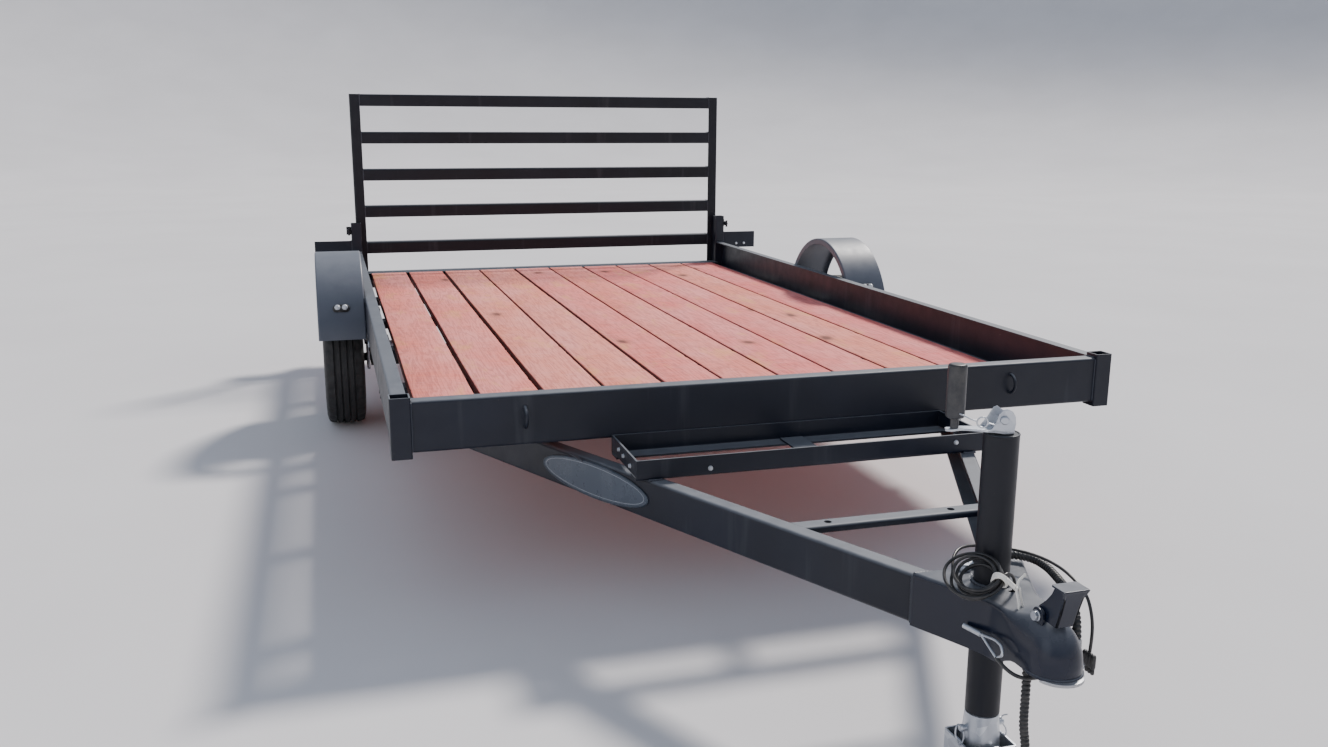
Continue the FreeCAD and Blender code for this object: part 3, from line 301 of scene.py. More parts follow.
sign_line = painted("sign_line", (0.42, 0.45, 0.49), (0.52, 0.55, 0.59), rough=(0.25, 0.4), metallic=0.3)
worn_steel = plated("worn_steel", (0.50, 0.51, 0.53), (0.34, 0.35, 0.37), rough=(0.3, 0.5))
red_lens = lens("red_lens", (0.55, 0.016, 0.012), (0.22, 0.004, 0.004))
clear_lens = lens("clear_lens", (0.72, 0.74, 0.76), (0.46, 0.48, 0.52))
wood = sawn_wood("deck_wood", -0.7342)

# Nodes with a finish of their own, then whole families of nodes; the rest has the frame's paint
finishes = {
    "coupler_housing": coupler_paint, "coupler_latch": grip_plastic, "jack_tube": jack_paint, "jack_leg": zinc,
    "jack_foot": zinc, "jack_crank_arm": zinc, "jack_crank_grip": grip_plastic, "deck_boards": wood,
    "blank_sign": sign_metal, "spring_bolts": zinc, "axle_u_bolts": zinc, "gate_hinge_pins": hub_metal,
    "safety_hook_left": zinc, "safety_hook_right": zinc, "safety_cable_anchor": zinc,
    "marker_lamps": housing_plastic, "tail_lamps": housing_plastic,
}
families = {
    "fender": fender_paint, "gate": gate_paint, "leaf": spring_paint, "spring_t": spring_paint,
    "spring_h": spring_paint, "axle_b": spring_paint, "wheel": rim_paint, "hub": hub_metal, "tyre": rubber,
    "safety_cable_l": cord_black, "safety_cable_r": cord_black, "safety_tail": cord_black, "wiring": cord_black,
}
for name, obj in nodes.items():
    family = [finish for start, finish in families.items() if name.startswith(start)]
    for place in obj.material_slots:
        place.material = finishes.get(name, (family + [paint])[0])


# ---------------------------------------------------------------- mesh helpers

def link(obj):
    bpy.context.collection.objects.link(obj)
    return obj


def placed(name, data, material, body="chassis"):
    """Puts a mesh or a curve in the scene as a piece that rides on a body."""
    data.materials.append(material)
    obj = link(bpy.data.objects.new(name, data))
    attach(obj, body)
    return obj


def mesh_piece(name, points, faces, material, slot_name, body="chassis"):
    data = bpy.data.meshes.new(name)
    data.from_pydata([tuple(p) for p in points], [], faces)
    data.polygons.foreach_set("use_smooth", [True] * len(data.polygons))
    data.validate()
    data.update()
    return placed(name, data, material, body)


def smooth_by_angle(obj, degrees=35):
    bpy.context.view_layer.objects.active = obj
    for other in bpy.context.selected_objects:
        other.select_set(False)
    obj.select_set(True)
    bpy.ops.object.shade_smooth_by_angle(angle=math.radians(degrees))
    obj.select_set(False)


def soft_edges(obj, width):
    """Small bevels along a folded piece's edges, then shading by angle."""
    bevel = obj.modifiers.new("soft_edges", "BEVEL")
    bevel.width = width
    bevel.segments = 2
    bevel.limit_method = "ANGLE"
    smooth_by_angle(obj)


def quads(rows, count, along=False, wrap=True, wrap_rows=False):
    """Faces between rows of points: along turns them round, wrap closes each row, wrap_rows joins last to first."""
    faces = []
    for i in range(rows if wrap_rows else rows - 1):
        a, b = i * count, (i + 1) % rows * count
        for j in range(count if wrap else count - 1):
            n = (j + 1) % count
            faces.append((a + j, b + j, b + n, a + n) if along else (a + j, a + n, b + n, b + j))
    return faces


def circle(centre, first, second, steps):
    """Points round a centre, from its first arm by way of its second, with the last point on the first."""
    return [centre + first * math.cos(a) + second * math.sin(a)
            for a in (2 * math.pi * k / steps for k in range(steps + 1))]


def carry(line):
    """A frame at each point of a line, turned as little as the line allows."""
    frames = []
    normal = None
    for k, p in enumerate(line):
        along = (line[min(k + 1, len(line) - 1)] - line[max(k - 1, 0)]).normalized()
        if normal is None:
            normal = along.orthogonal().normalized()
        normal = (normal - along * normal.dot(along)).normalized()
        frames.append((p, normal, along.cross(normal)))
    return frames


def smooth_line(points):
    """Points along a smooth line that passes through the given ones, five to a stretch."""
    line = []
    for k in range(len(points) - 1):
        before, a, b, after = (points[min(max(k + i, 0), len(points) - 1)] for i in (-1, 0, 1, 2))
        for t in (j / 5 for j in range(5)):
            line.append(0.5 * (2 * a + (b - before) * t + (2 * before - 5 * a + 4 * b - after) * t ** 2
                               + (3 * a - before - 3 * b + after) * t ** 3))
    line.append(points[-1])
    return line


class Group:
    """Gathers many small solids that share a body and a material into one piece."""

    def __init__(self):
        self.points = []
        self.faces = []

    def add(self, points, faces):
        base = len(self.points)
        self.points += points
        self.faces += [tuple(base + i for i in f) for f in faces]

    def loft(self, points, count, along=True, flip=False):
        """A solid through rows of count points each, closed at both ends."""
        last = len(points) - count
        bottom, top = tuple(range(count)), tuple(range(last, last + count))
        faces = quads(len(points) // count, count, along)
        faces += [bottom, top[::-1]] if along else [bottom[::-1], top]
        self.add(points, [f[::-1] for f in faces] if flip else faces)

    def turned(self, outline, at, axis, sides=24, flats=()):
        """A solid turned from (radius, height) pairs about an axis; flats names the rows that are hexagons."""
        axis = Vector(axis).normalized()
        first = axis.orthogonal().normalized()
        second = axis.cross(first)
        sixth = math.pi / 3
        points = []
        for k, (radius, height) in enumerate(outline):
            for a in (2 * math.pi * j / sides for j in range(sides)):
                r = radius * math.cos(sixth / 2) / math.cos(a % sixth - sixth / 2) if k in flats else radius
                points.append(Vector(at) + axis * height + (first * math.cos(a) + second * math.sin(a)) * r)
        self.loft(points, sides, along=False)

    def bolt(self, at, axis, across, height, washer=True):
        """A hexagon head on its washer, with a chamfered top."""
        r = across / 2 / math.cos(math.pi / 6)
        w = 0.12 * across if washer else 0.0
        outline = [(r * 1.12, 0), (r * 1.12, w * 0.8), (r * 1.06, w)] if washer else []
        base = len(outline)
        outline += [(r, w), (r, w + height * 0.86), (r * 0.86, w + height), (r * 0.5, w + height)]
        self.turned(outline, at, axis, 24, {base, base + 1})

    def nut(self, at, axis, across, stud, stud_reach):
        """A hexagon nut on its washer, with the stud's chamfered end standing out of it."""
        height = 0.85 * across
        r = across / 2 / math.cos(math.pi / 6)
        outline = [(r * 1.15, 0), (r * 1.15, 0.0015), (r, 0.0015), (r, height * 0.9), (r * 0.88, height),
                   (stud * 1.04, height), (stud, height - 0.0004), (stud, height + stud_reach - 0.001),
                   (stud * 0.8, height + stud_reach)]
        self.turned(outline, at, axis, 24, {2, 3})

    def tube(self, line, radius, sides=10, shape=None):
        """A tube along a list of points; shape(distance, angle) scales its radius."""
        run = 0.0
        points = []
        for k, (p, n, b) in enumerate(carry(line)):
            if k:
                run += (line[k] - line[k - 1]).length
            for a in (2 * math.pi * j / sides for j in range(sides)):
                r = radius * (shape(run, a) if shape else 1.0)
                points.append(p + (n * math.cos(a) + b * math.sin(a)) * r)
        self.loft(points, sides)

    def bead(self, start, end, radius=0.0022):
        """A weld bead between two points: overlapping ripples that wander a little."""
        start, end = Vector(start), Vector(end)
        length = (end - start).length
        steps = max(6, int(length / 0.0016))
        side = (end - start).orthogonal().normalized()
        line = [start.lerp(end, k / steps) for k in range(steps + 1)]
        line = [p + side * (0.0004 * noise.noise(p * 90)) for p in line]

        def ripple(run, angle):
            ends = min(1.0, 0.35 + 6 * min(run, length - run) / 0.012)
            uneven = 0.10 * noise.noise(start * 50 + Vector((run * 150, 0, 0)))
            return ends * (0.86 + 0.22 * abs(math.sin(math.pi * run / 0.0052)) + uneven)
        self.tube(line, radius, 8, ripple)

    def slab(self, at, u, v, n, width, height, corner, layers):
        """A rounded rectangle built up along n from (inset, offset) layers."""
        rings = []
        for inset, lift in layers:
            w, h = width / 2 - inset, height / 2 - inset
            r = max(corner - inset, 0.0002)
            for cx, cy, first in ((w - r, h - r, 0), (r - w, h - r, 1), (r - w, r - h, 2), (w - r, r - h, 3)):
                for a in (math.pi / 2 * (first + k / 4) for k in range(5)):
                    rings.append(Vector(at) + u * (cx + r * math.cos(a)) + v * (cy + r * math.sin(a)) + n * lift)
        self.loft(rings, 20, along=False, flip=u.cross(v).dot(n) <= 0)

    def piece(self, name, material, slot_name, body="chassis"):
        return mesh_piece(name, self.points, self.faces, material, slot_name, body)


# ---------------------------------------------------------------- cords

def spline(name, route, radius=0.0):
    """A smooth curve with the route's points, in millimetres from the jack's foot, as its control points."""
    data = bpy.data.curves.new(name, "CURVE")
    data.dimensions = "3D"
    line = data.splines.new("NURBS")
    line.points.add(len(route) - 1)
    for point, place in zip(line.points, route):
        point.co = (*(jack + Vector(place) * MM), 1.0)
    line.order_u = 3
    line.use_endpoint_u = True
    line.resolution_u = 10
    data.bevel_depth = radius
    data.bevel_resolution = 5
    data.use_fill_caps = True
    return data


def followed(data):
    """The points of a curve's own line, read from its mesh, and its length."""
    bare = data.copy()
    bare.bevel_depth = 0
    probe = bpy.data.objects.new("probe", bare)
    mesh = bpy.data.meshes.new_from_object(probe)
    points = [v.co.copy() for v in mesh.vertices]
    bpy.data.objects.remove(probe)
    bpy.data.curves.remove(bare)
    bpy.data.meshes.remove(mesh)
    return points, sum((a - b).length for a, b in zip(points, points[1:]))


def even(points, step):
    """Points a step apart along a line."""
    out = [points[0].copy()]
    left = step
    for a, b in zip(points, points[1:]):
        run = (b - a).length
        while run >= left:
            a = a.lerp(b, left / run)
            run = (b - a).length
            out.append(a.copy())
            left = step
        left -= run
    out.append(points[-1].copy())
    return out


def cord_piece(name, route, radius):
    data = spline(name, route, radius)
    return placed(name, data, cord_black), followed(data)


def sleeve_piece(name, route, radius=6.5 * MM, pitch=6.2 * MM):
    """A close-wound coil sleeve along a route: a tube whose skin rises in a helix."""
    points, length = followed(spline(name + "_line", route))
    group = Group()

    def wound(run, angle):
        return 0.70 + 0.30 * abs(math.sin(math.pi * run / pitch - angle / 2)) ** 0.6
    group.tube(even(points, pitch / 9), radius, 18, wound)
    return group.piece(name, cord_black, "cord_black"), points, length


def crimp_piece(name, line, reach=0.012, step=0.0015):
    """The crimp on a cable's far end."""
    group = Group()
    run = even(line[::-1], step)[:int(reach / step)]
    group.tube(run, 7.0 * MM, 16, lambda d, a: 0.92 + 0.08 * math.sin(d / reach * math.pi * 3) ** 2)
    return group.piece(name, hub_metal, "zinc")


# Routes in millimetres from the jack's axis, as in the part's source
feed_route = [(12, -39, 300), (12, -39, 316), (8, -45, 331), (-4, -53, 343), (-18, -60, 349), (-31, -64, 346)]
lead_route = [(-70, -10, 339), (-62, 7, 349), (-42, 26, 356), (-14, 39, 353), (16, 45, 347),
              (46, 42, 342), (71, 24, 339), (84, -3, 338), (88, -37, 337), (84, -72, 335),
              (82, -107, 326), (77, -128, 304), (75, -135, 277), (72, -136, 254)]
right_route = [(2, 55, 318), (36, 67, 319), (72, 65, 320), (96, 41, 320), (97, 5, 320), (86, -35, 320),
               (76, -73, 318), (66, -105, 308), (57, -125, 288), (53, -132, 262)]
tail_route = [(53, -132, 262), (51, -135, 251), (45, -139, 242), (34, -143, 236), (19, -145, 234),
              (2, -146, 234), (-18, -147, 234), (-36, -149, 236), (-49, -144, 240), (-55, -133, 244),
              (-56, -119, 247), (-54, -106, 248)]
left_route = [(-4, -103, 305), (-4, -103, 272), (-5, -105, 246), (-8, -112, 222), (-12, -118, 198),
              (-14, -121, 151), (-10, -122, 126), (-8, -125, 98), (0, -131, 68), (18, -139, 42),
              (44, -145, 23), (76, -146, 12), (108, -141, 8), (136, -131, 7)]

# The lead's turns: from the feed's end round to the lead's start, five and a half times
hank_centre = Vector((-50, -37, 339))
hank_radius = 34
hank_per_turn = 14
away = Vector((hank_centre.x, hank_centre.y, 0)).normalized()
lean = math.radians(31)
hank_axis = away * math.sin(lean) + Z * math.cos(lean)
from_centre = Vector(feed_route[-1]) - hank_centre
u = (from_centre - hank_axis * from_centre.dot(hank_axis)).normalized()
v = u.cross(hank_axis)
# where each turn lies, outward and along the hank's axis: side by side under the tie, and fanned out opposite it
beside = [(0.0, 0.0), (5.3, -1.9), (1.1, 5.7), (-5.9, 2.1), (-5.4, -3.4), (-0.3, -5.3)]
fanned = [(-8.3, 6.1), (9.9, 8.2), (-4.5, 13.3), (-12.1, -3.7), (-7.8, -11.8), (7.2, -8.8)]
hank_route = []
steps = int((len(beside) - 0.5) * hank_per_turn)
for k in range(1, steps):
    t = k / hank_per_turn
    a = 2 * math.pi * t
    whole = int(t)
    part = t - whole
    ease = part * part * (3 - 2 * part)
    after = min(whole + 1, len(beside) - 1)
    loose = math.sin(a / 2) ** 2
    outward, along = ((beside[whole][i] * (1 - ease) + beside[after][i] * ease) * (1 - loose)
                      + fanned[whole][i] * loose for i in (0, 1))
    spoke = u * math.cos(a) + v * math.sin(a)
    if outward > 0:
        # the turns keep clear of the jack's tube
        outward *= 1 - 0.75 * max(0.0, -spoke.dot(away))
    ends = min(1.0, k / 4, (steps - k) / 4)
    hank_route.append(tuple(hank_centre + spoke * (hank_radius + outward * ends) + hank_axis * along * ends))

lead_radius = 2.3 * MM
lead, (lead_line, lead_length) = cord_piece("trailer_lead", feed_route[:-1] + hank_route + lead_route, lead_radius)
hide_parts("wiring_feed", "wiring_coil", "wiring_lead")
sleeve_right, right_line, right_length = sleeve_piece("coil_sleeve_right", right_route)
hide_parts("safety_cable_right")
tail, (tail_line, tail_length) = cord_piece("cable_tail_right", tail_route, 2.75 * MM)
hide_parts("safety_tail_right")
sleeve_left, left_line, left_length = sleeve_piece("coil_sleeve_left", left_route)
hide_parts("safety_cable_left")

# Flat four-way plug: three covered sockets and a bare pin
plug = Group()
plug_top = jack + Vector(lead_route[-1]) * MM
wide = 3.6 * MM
for k in range(4):
    at = plug_top + Y * ((k - 1.5) * 6.0 * MM)
    mouth = -0.0215 if k < 3 else -0.019
    plug.turned([(wide * 0.7, -0.001), (wide, -0.003), (wide, -0.018), (wide * 0.92, -0.019),
                 (wide * 0.8, mouth), (wide * 0.5, mouth)], at, Z, 20)
    if k < 3:
        plug.turned([(wide * 0.72, -0.020), (wide * 0.78, -0.0285), (wide * 0.55, -0.0295), (wide * 0.5, -0.026)],
                    at, Z, 20)
plug_piece = plug.piece("flat_plug", cord_black, "cord_black")
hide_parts("wiring_plug")
pin = Group()
pin.turned([(0.0017, -0.018), (0.0017, -0.0275), (0.0012, -0.0292), (0.0005, -0.0296)],
           plug_top + Y * (9.0 * MM), Z, 16)
pin_piece = pin.piece("plug_pin", zinc, "zinc")
crimp_right = crimp_piece("cable_crimp_right", right_line)
crimp_left = crimp_piece("cable_crimp_left", left_line)

# Twisted cream tie round the gathered turns: three rings, a twist of two strands and three hanging ends
tie = Group()
tie_at = jack + (hank_centre + u * hank_radius) * MM
tie_wire = 1.9 * MM
for k in range(3):
    tie.tube([tie_at + (u * math.cos(a) * 10.2 + hank_axis * math.sin(a) * 9.6) * MM
              + v * ((k - 1) * 3.4 + 1.3 * math.sin(a * 2 + k)) * MM
              for a in (2 * math.pi * j / 24 for j in range(25))], tie_wire, 8)
for k in range(2):
    twist = []
    for t in (j / 39 for j in range(40)):
        a = t * 4 * 2 * math.pi + k * math.pi
        core = tie_at + u * (10.2 + 12 * t) * MM + hank_axis * (3.0 - 8 * t) * MM + v * 5 * t * MM
        twist.append(core + (v * math.cos(a) + hank_axis * math.sin(a)) * 2.0 * MM)
    tie.tube(twist, tie_wire, 8)
for k, (aside, ahead, drop) in enumerate(((9.0, -9.0, 34.0), (-4.0, -15.0, 27.0), (15.0, 3.0, -19.0))):
    core = tie_at + (u * 22.2 - hank_axis * 5.0 + v * 5.0) * MM
    tie.tube([core + Vector((aside * t, ahead * t, 6.0 * math.sin(3.1 * t) - drop * t * t)) * MM
              + Vector((math.sin(8 * t + k), math.cos(8 * t + k), 0)) * 1.1 * MM
              for t in (j / 29 for j in range(30))], tie_wire, 8, lambda run, a: 1.0 + 0.18 * math.sin(a * 2))
tie_piece = tie.piece("twist_tie", tie_white, "cord_black")


# ---------------------------------------------------------------- deck

def sawn_boards():
    """Ten boards in their places, each with its own width, worn corners and slightly wavy edges."""
    low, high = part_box("deck_boards")
    gaps = [0.0076, 0.0125, 0.0118, 0.0062, 0.0092, 0.0066, 0.0074, 0.0062, 0.0070, 0.0066, 0.0076]
    half_gap = 0.0038
    steps = 120
    boards = Group()
    for k in range(10):
        left = low[0] + k * board_pitch - half_gap + gaps[k] / 2 if k else low[0]
        right = low[0] + (k + 1) * board_pitch - half_gap - gaps[k + 1] / 2 if k < 9 else high[0]
        top = high[2] + 0.0003 * math.sin(5.1 * k)
        back = high[1] - 0.0005 - 0.0016 * (0.5 + 0.5 * math.sin(2.3 * k))
        ahead = low[1] + 0.0004 + 0.0012 * (0.5 + 0.5 * math.cos(3.1 * k))
        section = []
        for corner, (cx, cz) in enumerate(((right, low[2]), (right, top), (left, top), (left, low[2]))):
            r = 0.0030 if corner in (1, 2) else 0.0015
            ox = cx - r if corner in (0, 1) else cx + r
            oz = cz + r if corner in (0, 3) else cz - r
            for a in (-math.pi / 2 + math.pi / 2 * (corner + j / 4) for j in range(5)):
                section.append((ox + r * math.cos(a), oz + r * math.sin(a)))
        points = []
        for i in range(steps + 1):
            y = ahead + (back - ahead) * i / steps
            for x, z in section:
                side = 1 if x > (left + right) / 2 else -1
                wave = noise.noise(Vector((side * 3 + 11 * k, y * 3.1, 0.3))) * 0.0011
                chew = max(0.0, noise.noise(Vector((side * 7 + 5 * k, y * 26, 4.0))) - 0.25) * 0.0035
                drop = chew if z > top - 0.004 else 0.0
                points.append(Vector((x + wave - side * drop, y, z - drop * 0.7)))
        boards.loft(points, len(section))
    return boards


deck = sawn_boards().piece("sawn_deck_boards", wood, "deck_wood")
smooth_by_angle(deck, 50)
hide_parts("deck_boards")


# ---------------------------------------------------------------- wheels

def tread_ring(side):
    """A trailer tyre: ribbed crown with slotted shoulders, bulged sidewalls with raised rings."""
    half_profile = [(0.0, 209.6), (7.5, 209.6), (8.2, 203.4), (12.2, 203.4), (12.9, 209.5), (19.0, 209.3),
                    (26.2, 209.0), (26.9, 202.9), (31.4, 202.7), (32.1, 208.6), (39.0, 207.9), (46.0, 206.6),
                    (50.5, 204.8), (54.0, 201.8), (56.4, 197.0), (58.0, 191.0), (59.4, 185.0), (60.2, 180.6),
                    (59.5, 179.6), (60.3, 174.0), (61.0, 166.0), (60.9, 157.0), (60.0, 149.0), (60.6, 147.8),
                    (59.6, 146.2), (57.6, 138.0), (54.4, 129.6), (50.8, 123.2), (49.6, 121.6), (49.9, 120.2),
                    (47.6, 118.2), (45.2, 117.2), (44.2, 112.0), (44.2, 101.8)]
    profile = [(-x, r) for x, r in half_profile[:0:-1]] + half_profile
    around = 180
    points = []
    for j in range(around):
        a = 2 * math.pi * j / around
        for x, r in profile:
            rib = 14 < abs(x) < 26
            if j % 6 in (0, 1) and 33 < abs(x) < 57.5:
                r -= 4.6 if abs(x) < 52 else 3.0
            elif j % 3 == 0 and rib:
                r -= 1.6
            turn = a + (0.0011 * x if rib else 0)
            points.append(Vector((side * (axle.x + x * MM), axle.y + r * MM * math.sin(turn),
                                  axle.z + r * MM * math.cos(turn))))
    faces = quads(around, len(profile), wrap=False, wrap_rows=True)
    return points, faces if side > 0 else [f[::-1] for f in faces]


stud_circle, stem_circle, stem_angle = 0.05715, 0.093, 0.35
for side, label in ((-1, "left"), (1, "right")):
    body = label + "_wheel"
    outward = X * side

    def on_wheel(out, radius, a):
        """A point of the wheel: how far out of its middle, and its radius and angle from the top."""
        return Vector((side * (axle.x + out), axle.y + radius * math.sin(a), axle.z + radius * math.cos(a)))
    tyre = mesh_piece("treaded_tyre_" + label, *tread_ring(side), rubber, "tyre_rubber", body)
    smooth_by_angle(tyre, 38)
    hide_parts("tyre_" + label)
    nuts = Group()
    for k in range(5):
        nuts.turned([(0.0128, 0), (0.0128, 0.0016), (0.0112, 0.003), (0.0112, 0.0150), (0.0098, 0.0172),
                     (0.0088, 0.0210), (0.0060, 0.0244), (0.0020, 0.0258)],
                    on_wheel(0.004, stud_circle, 2 * math.pi * (k + 0.5) / 5), outward, 24, {2, 3})
    smooth_by_angle(nuts.piece("lug_nuts_" + label, zinc, "zinc", body))
    stem = Group()
    a = stem_angle
    stem.turned([(0.0060, -0.002), (0.0060, 0.003), (0.0042, 0.006), (0.0040, 0.018), (0.0046, 0.0185),
                 (0.0046, 0.0265), (0.0036, 0.0285)], on_wheel(0.024, stem_circle, a),
                outward + Vector((0, -math.sin(a), -math.cos(a))) * 0.28, 20)
    smooth_by_angle(stem.piece("valve_stem_" + label, rubber, "tyre_rubber", body))
    cap = Group()
    cap.turned([(0.030, 0.0415), (0.0265, 0.0438), (0.0205, 0.0450), (0.0195, 0.0440), (0.0080, 0.0440),
                (0.0070, 0.0448), (0.001, 0.0448)], on_wheel(0, 0, 0), outward, 40)
    smooth_by_angle(cap.piece("dust_cap_ring_" + label, hub_metal, "bare_steel", body))


# ---------------------------------------------------------------- welds and fasteners

def tongue_x(y):
    """Half-width of the tongue's outer faces at y."""
    return 0.436 + tongue_slope * (y - front)


def weld(group, s, x, y, z, radius=0.0022, to_x=None, to_y=None, to_z=None):
    """A bead from x, y, z to the point that differs as told, mirrored in x where s is -1."""
    end = [here if there is None else there for here, there in ((x, to_x), (y, to_y), (z, to_z))]
    group.bead((s * x, y, z), (s * end[0], *end[1:]), radius)


welds, gate_welds, bolts = Group(), Group(), Group()
post_face, rail_face, rail_top = post_in - 0.0006, half + 0.0004, 0.4403
post_front, post_rear = front + 0.0346, bed_rear - 0.0406
loop_x, loop_z = half - 0.255, 0.395
tie_y = front - 0.485
gate_face = 0.7429
fender_centre, fender_radius, fender_face = 0.280, 0.2755, 0.8008
spring_x, u_bolt_top = 0.765, 0.2682
for s in (-1, 1):
    # corner posts on the rails
    weld(welds, s, post_face, front - 0.0006, 0.341, to_z=0.438)
    weld(welds, s, rail_face, post_front, 0.334, to_z=0.437)
    weld(welds, s, rail_face, post_rear, 0.334, to_z=0.437)
    weld(welds, s, 0.770, post_front, rail_top, to_x=0.798)
    weld(welds, s, 0.770, post_rear, rail_top, to_x=0.798)
    weld(welds, s, post_face, front + 0.004, rail_top, to_y=front + 0.030)
    # tray on the tongue, coupler on the tongue
    x = tongue_x(front - 0.190)
    weld(welds, s, x - 0.028, front - 0.1909, 0.3056, 0.0026, to_x=x + 0.001)
    x = tongue_x(front - 0.7346)
    weld(welds, s, x - 0.026, front - 0.7344, 0.3078, 0.0028, to_x=x + 0.004)
    weld(welds, s, x + 0.0044, front - 0.7342, 0.306, 0.0028, to_z=0.230)
    # tongue under the front rail, and the tie between the beams
    weld(welds, s, tongue_x(front) + 0.0006, front - 0.030, 0.3046, to_x=tongue_x(front + 0.03) + 0.0006,
         to_y=front + 0.030)
    for y in (tie_y - 0.016, tie_y + 0.016):
        weld(welds, s, tongue_x(y) - 0.0302, y - 0.001, 0.303, 0.0018, to_y=y + 0.001, to_z=0.2945)
    # fender on the side rail
    for y in (axle.y + sweep * 0.5 for sweep in (-0.52, -0.30, -0.08, 0.14, 0.36)):
        z = fender_centre + math.sqrt(fender_radius ** 2 - (y - axle.y) ** 2)
        if z < 0.436:
            weld(welds, s, fender_face, y - 0.012, z, 0.002, to_y=y + 0.012)
    for y, inward in ((axle.y - 0.2245, -0.012), (axle.y + 0.2245, 0.012)):
        weld(welds, s, 0.8010, y, 0.436, 0.0024, to_y=y + inward, to_z=0.4215)
    # tie-down loops
    for z in (loop_z - 0.0205, loop_z + 0.0205):
        weld(welds, 1, s * loop_x - 0.004, front - 0.0012, z, 0.003, to_x=s * loop_x + 0.004)
    # gate bars and uprights
    for top in [1.069 - 0.149 * k for k in range(5)] + [0.345]:
        weld(gate_welds, s, gate_face, bed_rear + 0.0098, top - 0.003, 0.0017, to_z=top - 0.044)
        weld(gate_welds, s, gate_face, bed_rear + 0.013, top + 0.0003, 0.0017, to_y=bed_rear + 0.047)
    # lamp bracket: on the post, and its two screws
    weld(welds, s, 0.8046, bed_rear - 0.0384, 0.418, 0.002, to_z=0.482)
    for x in (0.8640, 0.9005):
        bolts.bolt((s * x, bed_rear - 0.0381, 0.433), -Y, 0.0085, 0.004)
    # spring eye and keeper bolts, U-bolt nuts
    for y, z in ((axle.y - 0.2867, 0.3040), (axle.y + 0.2665, 0.2759)):
        bolts.bolt((s * 0.7930, y, z), X * s, 0.019, 0.0062, washer=False)
        bolts.nut((s * 0.7370, y, z), X * -s, 0.019, 0.0064, 0.002)
    for x in (0.7377, 0.7923):
        for y in (-0.0303, 0.0303):
            bolts.nut((s * x, axle.y + y, u_bolt_top), Z, 0.0155, 0.0049, 0.0048)
    bolts.nut((s * spring_x, axle.y, u_bolt_top), Z, 0.013, 0.0045, 0.002)
# hinge straps on the sill, and the gate's strap between each pair
strap_step, half_bead = 0.041, 0.019
for hinge in (-0.6, 0.0, 0.6):
    for x in (hinge - strap_step, hinge + strap_step):
        weld(welds, 1, x - half_bead, bed_rear + 0.0044, 0.3403, 0.002, to_x=x + half_bead)
    weld(gate_welds, 1, hinge - half_bead, bed_rear + 0.0190, 0.2990, 0.0018, to_x=hinge + half_bead)
# ring weld where the jack's tube passes the coupler's top
welds.tube(circle(jack + Z * 0.3112, X * 0.0268, Y * 0.0268, 90), 0.0026, 8,
           lambda run, a: 0.84 + 0.26 * abs(math.sin(math.pi * run / 0.0054)))
welds.piece("weld_beads", bead_paint, "frame_paint")
gate_welds.piece("gate_weld_beads", bead_paint, "frame_paint", "tailgate")
# small screws in the tray, and the coupler latch's pivot
for at, axis in (((-0.3713, front - 0.10, 0.330), -X), ((-0.3713, front - 0.065, 0.333), -X),
                 ((-0.3713, front - 0.150, 0.325), -X), ((-0.225, front - 0.1905, 0.320), -Y),
                 ((0.300, front - 0.1905, 0.330), -Y)):
    bolts.bolt(at, axis, 0.0075, 0.003)
pivot = ball + Vector((0, 0.015, 0.0513))
bolts.bolt(pivot - X * 0.0196, -X, 0.012, 0.005)
bolts.nut(pivot + X * 0.0196, X, 0.012, 0.0045, 0.002)
smooth_by_angle(bolts.piece("bolts_and_nuts", zinc, "zinc"))

# Clips that hold each spring's leaves together: a strip below and one on each side
clips = Group()
spring_bend = 1.1136
clip_layers = [(0.0006, -0.0125), (0, -0.012), (0, 0.012), (0.0006, 0.0125)]
for s in (-1, 1):
    for y in (-0.115, 0.115):
        low = 0.241 + spring_bend - math.sqrt(spring_bend ** 2 - y ** 2) - 0.0012
        for x, z, wide, tall in ((0.7650, low, 0.0488, 0.0024), (0.7882, low + 0.01175, 0.0024, 0.0259),
                                 (0.7418, low + 0.01175, 0.0024, 0.0259)):
            clips.slab((s * x, axle.y + y, z), X, Z, Y, wide, tall, 0.0008, clip_layers)
clips.piece("spring_clips", spring_paint, "spring_steel")


# ---------------------------------------------------------------- lamps and sign

